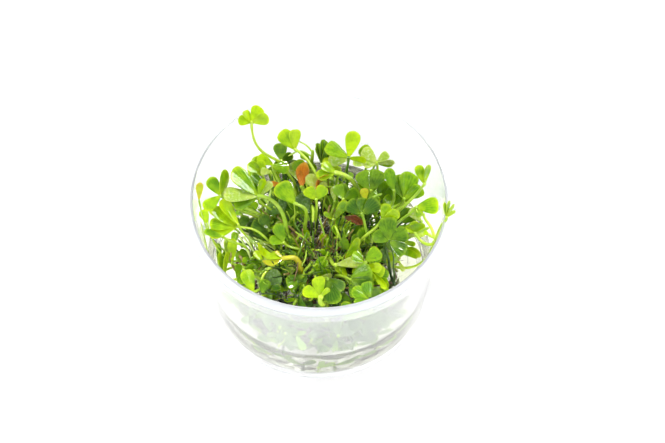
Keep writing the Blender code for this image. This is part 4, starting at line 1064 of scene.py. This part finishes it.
# Small shoots with no solid of their own, which fill the places between the plantlets. Each is its tip,
# the width of its leaflets, the leaflets as a stalk has them and, for some, its foot.
sprigs = {
    "bright": [
        ((-17.5, 27.8, 43), 0.75, [(-62, 6.6, 10)]),
        ((-21.6, 23.5, 42), 0.75, [(-47, 7, 0, "folded"), (-10, 6, 10)]),
        ((7.9, 25.8, 44), 0.7, [(-68, 6.8, 10), (-98, 5.6, 30)]),
        ((-30.1, 0.5, 44), 0.5, [(-36, 11, 15, "folded")], (-25.4, -1.3)),
        ((-33.3, 8.2, 45), 0.55, [(-112, 8, 20)], (-21.7, 8.5)),
        ((-21.4, -8.8, 32), 0.7, [(-40, 5, 20), (80, 5.4, 10)]),
        ((-7.9, -22.3, 27), 0.5, [(-100, 5.2, 40)]),
        ((31.6, -1, 43), 0.5, [(80, 8.2, 20), (60, 6, 30)]),
        ((29.6, -6.3, 35), 0.5, [(90, 7.4, 20, "curled")]),
        ((17.4, -14, 38), 0.8, [(98, 6, 10)]),
        ((19.3, -14.8, 37), 0.35, [(138, 9, 20, "folded")]),
    ],
    "green": [
        ((-17.8, 25.6, 45), 0.95, [(92, 6.2, 0, "cupped")]),
        ((-5.3, 25, 39), 0.9, [(-30, 7, 10), (30, 6, 20)]),
        ((-3.4, 30.3, 42), 0.8, [(-50, 4.6, 10)]),
        ((21.5, 26.1, 47), 0.75, [(88, 6.6, 50), (-42, 8, 0)]),
        ((20, 16.7, 40), 0.85, [(5, 8, 10, "pleated"), (-35, 7, 20)]),
        ((32.3, 11.4, 42), 0.95, [(-15, 7.5, 20, "pleated"), (25, 8, 10, "pleated")]),
        ((-8.6, -5.1, 33), 0.28, [(-33, 9.6, 20, "folded")]),
        ((-36, -4.7, 44), 0.5, [(-75, 7, 30)], (-26.1, -3.9)),
        ((-37.7, -10.3, 27), 0.4, [(-8, 10.5, 60), (10, 9, 60)]),
        ((-27.4, -10.3, 30), 0.7, [(45, 6, 10), (90, 5.6, 20)]),
        ((-31.2, -13.3, 27), 0.6, [(5, 5.6, 20)]),
        ((-6.7, -21.2, 28), 0.6, [(-60, 4.8, 20), (30, 5.2, 30)]),
        ((-21.4, -20.1, 26), 0.5, [(95, 6, 40)]),
        ((-7.5, -8.3, 31), 0.7, [(0, 4.6, 20)]),
        ((3.4, -10.9, 31), 0.7, [(-40, 4.6, 10)]),
        ((7.1, -1.1, 38), 0.7, [(-20, 4.6, 20)]),
        ((19.7, -16.9, 34), 0.8, [(70, 6.6, 10), (110, 6.4, 20)]),
        ((12.2, -20.3, 34), 0.9, [(80, 7, 0), (40, 5.6, 20)]),
        ((24.6, -20.3, 31), 0.7, [(-60, 6, 20), (-110, 5, 30)]),
    ],
    "dark": [
        ((-20.1, 18.9, 40), 0.5, [(-47, 7.8, 10, "folded")]),
        ((-13.4, 27.4, 38), 0.9, [(20, 6, 10), (80, 6.4, 20), (-40, 5.5, 0)]),
        ((9.4, 13.6, 40), 0.8, [(-10, 6.4, 20, "folded"), (40, 5.6, 30)]),
        ((24.1, 13.6, 40), 0.85, [(0, 7.5, 20), (50, 7, 10)]),
        ((29.8, 10.4, 38), 0.9, [(-40, 7, 20), (20, 7.2, 20)]),
        ((-29.8, 3.8, 35), 0.8, [(18, 5.6, 20), (-30, 5, 10)]),
        ((-23.8, 2.5, 32), 0.9, [(-40, 5.6, 20), (30, 5, 0), (100, 5.6, 20)]),
        ((-7.2, 9.8, 36), 0.9, [(-60, 7, 10), (-120, 6, 10)]),
        ((-10.2, 6.3, 33), 0.9, [(-75, 6.6, 0), (-20, 6, 20)]),
        ((-16.3, 2.2, 31), 0.85, [(60, 5.4, 10), (-30, 5, 20)]),
        ((-25.2, -11.4, 29), 0.9, [(-20, 4.6, 10), (50, 4.6, 20)]),
        ((-18.3, -20.6, 27), 0.9, [(60, 5.4, 20), (-10, 5, 10)]),
        ((-13.1, -19.5, 28), 0.8, [(20, 5.4, 20)]),
        ((2.2, -28.8, 34), 0.62, [(-2, 9.6, 0)]),
        ((7, -27.4, 33), 0.55, [(-8, 8.6, 10)]),
        ((12.4, -4.8, 34), 0.9, [(-50, 5.6, 10), (30, 6.4, 10)]),
        ((19.1, -3.4, 36), 0.9, [(-30, 6.6, 20), (40, 6, 0)]),
        ((31, 2.6, 42), 0.85, [(60, 5.8, 20), (20, 6, 20)]),
        ((17.4, -25.1, 32), 0.95, [(-20, 7.2, 10), (60, 6.4, 20)]),
        ((24.3, -4.6, 38), 0.85, [(50, 6.8, 20), (100, 6, 20)]),
    ],
    "pale": [
        ((-18.5, 23.7, 44.5), 0.95, [(-85, 3.8, 0)]),
        ((11.4, 28.6, 46), 0.75, [(-96, 7.6, 10)]),
        ((6, 11.9, 42), 0.5, [(-8, 5.5, 0)]),
        ((18.5, 25, 48), 0.7, [(-85, 5.6, 20)]),
        ((-36.4, 12.4, 44), 0.5, [(4, 9, 40)], (-23.3, 11.1)),
        ((-23.2, 10.5, 47), 0.5, [(38, 7.8, 20, "folded")], (-16.8, 9.9)),
        ((-12.7, 0.2, 38), 0.8, [(-40, 5.4, 10)]),
        ((-34.2, -7.7, 30), 0.45, [(-8, 8.8, 30)]),
        ((-11.6, -14.9, 32), 0.7, [(10, 4.4, 20)]),
        ((-1.5, -17.6, 33), 0.38, [(70, 6.6, 20)]),
        ((33.2, -2.9, 41), 0.55, [(75, 6.8, 10)]),
        ((38.4, 2.4, 43), 0.75, [(-42, 6.2, 0)], (30.9, 4.3)),
        ((31.1, -6, 33), 0.6, [(-128, 6.6, 10)]),
        ((30.5, -7.7, 30), 0.6, [(150, 4, 20)]),
    ],
    "teal": [
        ((-8.8, 25.3, 37), 0.95, [(-20, 7.5, 0), (40, 6.5, 20)]),
        ((-21.5, 4, 34), 0.9, [(-62, 6.6, 10), (8, 6.2, 10), (-112, 5.6, 0)]),
        ((-3.7, 5.8, 44), 0.9, [(-28, 7.6, 0, "cupped")]),
        ((-14, 9.5, 38), 0.85, [(-70, 6, 10), (0, 5.4, 20)]),
        ((-16.1, -17.2, 30), 0.95, [(-50, 5.6, 10)]),
        ((25, -10, 34), 0.7, [(-6, 5.2, 20)]),
        ((12.2, -37, 24.4), 0.85, [(15, 7.4, 0)]),
        ((15.8, -37.5, 28.5), 0.8, [(40, 7.6, 0)]),
        ((12.2, -38, 24.7), 0.5, [(75, 6.4, 20)]),
        ((5.6, -38, 21.5), 0.7, [(0, 6.8, 10), (-60, 5, 10)]),
        ((0, -39.5, 18), 0.95, [(0, 4.6, 0)]),
        ((3.3, -39, 20.2), 0.55, [(60, 6.6, 20)]),
        ((-8.6, -38, 21.5), 0.7, [(0, 6, 10), (-70, 5, 10)]),
        ((-13.4, -36, 22.5), 0.6, [(-30, 6.4, 20), (50, 5.4, 10)]),
        ((-18.1, -35, 27), 0.6, [(-20, 6, 20)]),
        ((-7.1, -35, 23.8), 0.8, [(20, 6, 20), (-30, 5, 0)]),
        ((-0.4, -35, 22.2), 0.8, [(-10, 6.4, 10), (50, 5.6, 20)]),
        ((7.8, -34, 25.1), 0.7, [(-30, 5.4, 20)]),
    ],
    "yellow": [
        ((17.7, 12.8, 42), 0.9, [(-10, 4.4, 0)]),
    ],
}

# The same for shoots that lie in the gel, along the front wall.
gelSprigs = {
    "green": [
        ((-0.4, -39, 5.6), 0.5, [(60, 6.4, 10), (20, 5, 0)]),
        ((6, -39, 7.2), 0.5, [(70, 6.8, 20)]),
        ((15.3, -37.7, 10.2), 0.4, [(75, 6.8, 30)]),
        ((-19.3, -35, 9.3), 0.7, [(-30, 7.6, 20), (-80, 6, 20)]),
        ((-24.6, -32, 11.8), 0.7, [(-30, 7.6, 20), (30, 6, 20)]),
        ((23.4, -33.4, 10.9), 0.4, [(65, 7.2, 30)]),
        ((30.1, -27.8, 12.7), 0.45, [(45, 7.6, 30)]),
    ],
    "dark": [
        ((-6.4, -38.5, 7.1), 0.6, [(50, 5.6, 20), (-60, 5.8, 10)]),
        ((-12.8, -37, 9.9), 0.6, [(-50, 6.4, 10), (30, 5, 10)]),
        ((9.8, -39, 8.9), 0.45, [(60, 6.2, 30)]),
    ],
}


sprigSet = {
    "thick": 0.85,
    "crown": 0.7,      # a foot's distance from the middle, as a share of its tip's
    "gelCrown": 0.8,   # the same for shoots in the gel, and how far they start under their tips
    "gelDepth": 2.5,
    "drawnIn": 0.9,    # brings shoots in the gel nearer the middle, behind the wall
}


# A small shoot stands on the crown, nearer the middle than its tip, unless it has a foot of its own.
def makeSprigs(blades, stems):
    rng = np.random.default_rng(83)
    for tint, shoots in sprigs.items():
        bunch = Bunch()
        for (x, y, z), wide, leaves, *own in shoots:
            foot = own[0] if own else (x * sprigSet["crown"], y * sprigSet["crown"])
            one = stalk((x, y, z), leaves, wide=wide, thick=sprigSet["thick"])
            growStalk(bunch, (*foot, ground(*foot)), one, rng, "plain", rng.uniform(0, 0.9), plainGrid, {})
        for (x, y, z), wide, leaves in gelSprigs.get(tint, []):
            foot = (x * sprigSet["gelCrown"], y * sprigSet["gelCrown"], z - sprigSet["gelDepth"])
            tip = (x * sprigSet["drawnIn"], y * sprigSet["drawnIn"], z)
            one = stalk(tip, leaves, wide=wide, thick=sprigSet["thick"])
            growStalk(bunch, foot, one, rng, "plain", rng.uniform(0, 0.9), plainGrid, {}, rooted=False)
        stem = stems["darkStalk"] if tint in ("dark", "teal") else stems["stalk"]
        bunch.piece(tint + "Sprigs", [stem, blades[tint]])


# Bare stems and roots that show by themselves. Under each finish stand the name and the slot of their
# piece, and then every stem's radius and the points that it runs through.
strands = {
    "stalk": ("greenStems", "leaf_green", [
        (0.72, [(-3.1, 28.3, 38), (-2.7, 29, 44), (-2.3, 30.2, 49)]),
        (0.34, [(-2.3, 29.5, 48), (-4.5, 31.7, 49.5), (-7.6, 33.6, 50)]),
        (0.36, [(-3, 29.5, 46), (-7.2, 30.7, 47.5), (-11.7, 28.8, 47)]),
        (0.5, [(6.5, 22, 38), (3.4, 22.3, 41), (0.4, 22.8, 43)]),
        (0.36, [(5.7, 21.3, 37), (3.4, 20.2, 39), (0.7, 19.2, 41)]),
        (0.42, [(23.6, 12.5, 46), (20.2, 10.5, 47), (17.6, 9.7, 45.5), (15.8, 9.7, 42)]),
        (0.34, [(-12.9, -2.1, 28), (-16.2, -1.3, 31), (-20.7, -1.5, 35)]),
        (0.38, [(-5.7, -0.4, 28), (-5.7, 0.8, 32), (-6.4, 2.5, 35)]),
        (0.42, [(-2.3, -2.7, 26), (-3, -1, 32), (-3.4, 0.7, 35)]),
        (0.46, [(-0.4, -5.4, 26), (2.2, -3.6, 32), (3.4, -2, 38)]),
        (0.44, [(3.4, -4.2, 27), (3.8, -2, 33), (2.2, -0.5, 37), (0, 4.6, 43)]),
        (0.5, [(8.2, -2.1, 36), (7.1, -0.4, 39), (6, 1.5, 41)]),
        (0.42, [(10.2, -5.9, 27), (11.6, -4.5, 32), (13.8, -3.4, 36)]),
        (0.3, [(-8.3, -3, 28), (-9.4, -1.3, 31), (-11.7, -0.4, 34)]),
        (0.5, [(-2.3, 2.6, 42), (-2.2, 5.2, 45), (-2.6, 7.6, 46)]),
        (0.55, [(17.7, 1.3, 34), (20.6, 1.2, 40), (23.1, 1.8, 44)]),
        (0.42, [(11.3, -14.6, 27), (9, -14.6, 30), (6.7, -14.2, 30)]),
        (0.62, [(7.9, -10.6, 29), (10.1, -11.7, 34), (12.6, -13.2, 38), (17.8, -14, 38)]),
        (0.5, [(0.7, -23.1, 26), (-2.2, -22.3, 30), (-5.2, -22.7, 33)]),
        (0.36, [(-17.6, -20.7, 24), (-13.1, -20.5, 26), (-8.6, -20.3, 28)]),
        (0.5, [(41.6, -3.5, 22.8), (42.3, -2.4, 30), (43, -2.7, 38)]),
    ]),
    "paleStalk": ("paleStems", "leaf_green", [
        (0.42, [(-20.9, 10, 32), (-19.3, 12.4, 39), (-18.1, 15.5, 44)]),
        (0.45, [(-42, -3.2, 27), (-42.9, -1.5, 36), (-43.8, -0.4, 47)]),
        (0.42, [(-24.9, -6.5, 28), (-27.4, -3.9, 34), (-29.9, -1.8, 40)]),
        (0.38, [(-22.7, -5.6, 28), (-25.5, -3.5, 34), (-28.4, -2.3, 40)]),
        (0.4, [(-20.8, -4.3, 28), (-23.7, -3.1, 34), (-27.2, -1.8, 40)]),
        (0.36, [(-18.5, -3.9, 28), (-22.2, -3.1, 34), (-26.2, -1.7, 39)]),
        (0.42, [(-16.6, -3, 28), (-20.3, -2.5, 33), (-24.7, -1.5, 38)]),
        (0.36, [(-14.4, -2.6, 28), (-18.5, -1.9, 32), (-22.9, -1.8, 37)]),
        (0.32, [(-19.3, -4.2, 27), (-23, -2.7, 32), (-27, -1.3, 37)]),
        (0.5, [(-22.9, -15.5, 27), (-22.1, -13.3, 30), (-19.8, -11.9, 32), (-16.1, -10.6, 32)]),
        (0.36, [(-22.9, -15.5, 27), (-21.4, -17.9, 26), (-17.6, -19.9, 25)]),
        (0.55, [(-4, -9, 29), (-1, -8.5, 31.5), (2.3, -7, 33)]),
        (0.5, [(-3, -9.5, 29), (8, -9.5, 31), (19, -12, 34)]),
        (0.45, [(-3, -10, 29), (6, -12, 30.5), (13, -16, 33)]),
        (0.35, [(-3, -9, 29), (5, -11, 31), (10, -13, 32)]),
        (0.35, [(-4, -9, 28.5), (-8, -14, 30), (-11, -18, 31)]),
    ]),
    "darkStalk": ("darkStems", "leaf_dark", [
        (0.38, [(-16.4, 17.3, 34), (-17.1, 18.6, 39), (-17.8, 22.6, 44)]),
        (0.42, [(10.3, 22.4, 38), (4.9, 24.6, 41), (-0.4, 26.7, 44)]),
        (0.36, [(-12.5, -1.4, 29), (-17.7, -1.2, 33), (-25.9, 0.2, 38)]),
        (0.52, [(28.7, -14.3, 22.6), (27.1, -12, 27), (26.2, -9.4, 33), (24.6, -5.4, 38)]),
        (0.42, [(27.5, -12.2, 25), (25.9, -9.4, 30), (24, -5.4, 35), (23.9, -1.7, 39)]),
        (0.35, [(-4, -8, 29), (-7, -11, 31), (-9, -16, 32)]),
        (0.4, [(-3, -9, 29), (1, -14, 31), (3, -19, 32)]),
    ]),
    "brownStalk": ("brownStems", "roots", [
        (0.5, [(-27.6, -5.4, 26), (-29, -5.4, 29), (-30.6, -6.5, 28), (-32.9, -7.4, 25)]),
        (0.42, [(-31.4, -9.1, 25), (-33.1, -7.7, 30), (-33, -5.7, 34)]),
        (0.6, [(-28.7, -9.1, 25), (-28.6, -7.1, 29), (-30.1, -5.2, 31)]),
        (0.36, [(6.4, -5.4, 26), (9, -3.3, 30), (8.3, -1, 35)]),
        (0.34, [(1.1, -4.8, 25), (4.5, -3.6, 29), (5.2, -1, 35), (4.1, 1.8, 39)]),
        (0.36, [(-1.2, -3, 25), (0.7, -0.7, 30), (1.1, 2.5, 35)]),
        (0.34, [(-7.6, -2.7, 26), (-7.9, -0.4, 31), (-10.9, 1.3, 34)]),
        (0.32, [(-5.7, -3, 25), (-6.1, -0.7, 30), (-9.8, 1.9, 36)]),
        (0.32, [(-3.4, -4.8, 25), (-4.2, -1.9, 29), (-7.2, 0.2, 33)]),
        (0.3, [(3, -4.8, 25), (6.4, -4.2, 27), (9.8, -2.2, 31)]),
        (0.36, [(16.2, 1, 33), (15.5, -0.7, 30), (12.5, -3.6, 26)]),
    ]),
    "thread": ("loneRoot", "roots", [
        (0.13, [(40, -3.4, 22.6), (38.5, -2.7, 29), (37.9, -1.6, 36)]),
    ]),
}


# A smooth curve through points.
def through(points, steps):
    points = np.array(points, float)
    points = np.concatenate([[2 * points[0] - points[1]], points, [2 * points[-1] - points[-2]]])
    path = []
    for a, b, c, d in zip(points, points[1:], points[2:], points[3:]):
        for t in np.linspace(0, 1, steps, endpoint=False):
            path.append(0.5 * (2 * b + (c - a) * t + (2 * a - 5 * b + 4 * c - d) * t * t
                               + (3 * b - a - 3 * c + d) * t**3))
    return np.array(path + [points[-2]])


strandSet = {"steps": 8, "sides": 8, "taper": (1.1, 0.85), "end": 0.4, "nearEnd": 0.8}


def makeStrands(stems):
    rng = np.random.default_rng(97)
    for kind, (name, slot, runs) in strands.items():
        bunch = Bunch()
        for radius, points in runs:
            path = through(points, strandSet["steps"])
            radii = radius * np.linspace(*strandSet["taper"], len(path))
            radii[[0, -1]] *= strandSet["end"]
            radii[[1, -2]] *= strandSet["nearEnd"]
            bunch.add(*tube(path, radii, strandSet["sides"]), rng.uniform(0, 1))
        bunch.piece(name, [stems[kind]])


tangleSet = {
    "shares": [("stalk", "paleTangle", 0.22), ("darkStalk", "darkTangle", 0.58),
               ("brownStalk", "brownTangle", 0.2)],
    "stalks": 240, "reach": 24.0, "crowding": 0.55, "forwards": 3.0, "sunk": 1.5, "spread": (1.0, 7.0),
    "rise": (6.0, 17.0), "heel": 0.75, "steps": 14, "sides": 6, "radius": (0.16, 0.42),
}


# Bare stalks that lean outwards from the crown, under the leaves.
def makeTangle(stems):
    rng = np.random.default_rng(71)
    for kind, name, share in tangleSet["shares"]:
        bunch = Bunch()
        for _ in range(int(tangleSet["stalks"] * share)):
            away = tangleSet["reach"] * rng.uniform(0, 1) ** tangleSet["crowding"]
            side = rng.uniform(0, 2 * math.pi)
            out = np.array([math.cos(side), math.sin(side), 0])
            x, y = out[:2] * away - (0, tangleSet["forwards"])
            start = np.array([x, y, matTop(x, y) - tangleSet["sunk"]])
            lean = unit(0.6 * out + rng.normal(0, 0.6, 3) * (1, 1, 0)) * rng.uniform(*tangleSet["spread"])
            tip = start + lean + (0, 0, rng.uniform(*tangleSet["rise"]))
            heel = (rng.normal(0, 1.6), rng.normal(0, 1.6), tangleSet["heel"] * (tip[2] - start[2]))
            path = stalkPath(start, stalk(tip, [], heel=heel), rng, tangleSet["steps"])
            radii = rng.uniform(*tangleSet["radius"]) * np.linspace(1.1, 0.7, len(path))
            bunch.add(*tube(path, radii, tangleSet["sides"]), rng.uniform(0, 1))
        bunch.piece(name, [stems[kind]])


def makeFloor():
    half = lightSet["floorSize"] / 2
    corners = [(-half, -half, 0), (half, -half, 0), (half, half, 0), (-half, half, 0)]
    mesh = bpy.data.meshes.new("floor")
    mesh.from_pydata(corners, [], [(0, 1, 2, 3)])
    sockets = {"Base Color": opaque(lightSet["floor"]), "Roughness": 0.9, "Specular IOR Level": 0.0}
    mesh.materials.append(newMaterial("paleFloor", sockets)[0])
    floor = bpy.data.objects.new("floor", mesh)
    bpy.context.scene.collection.objects.link(floor)


makeCamera()
makeLight()
makeFloor()
print("camera, light and floor made")
blades = {tint: bladeMaterial(tint) for tint in bladeFinishes}
stems = {kind: stemMaterial(kind) for kind in stemFinishes}
makeCup()
makeGel()
print("cup and gel made")
makePlantlets(blades, stems)
print("plantlets made")
makeRootBed(stems)
makeRoots(stems)
makeRunners(stems)
print("roots made")
makeLowGrowth(blades, stems)
print("low growth made")
makeSunken(stems)
print("bits in the gel made")
makeSprigs(blades, stems)
print("small shoots made")
makeStrands(stems)
makeTangle(stems)
print("bare stems made")
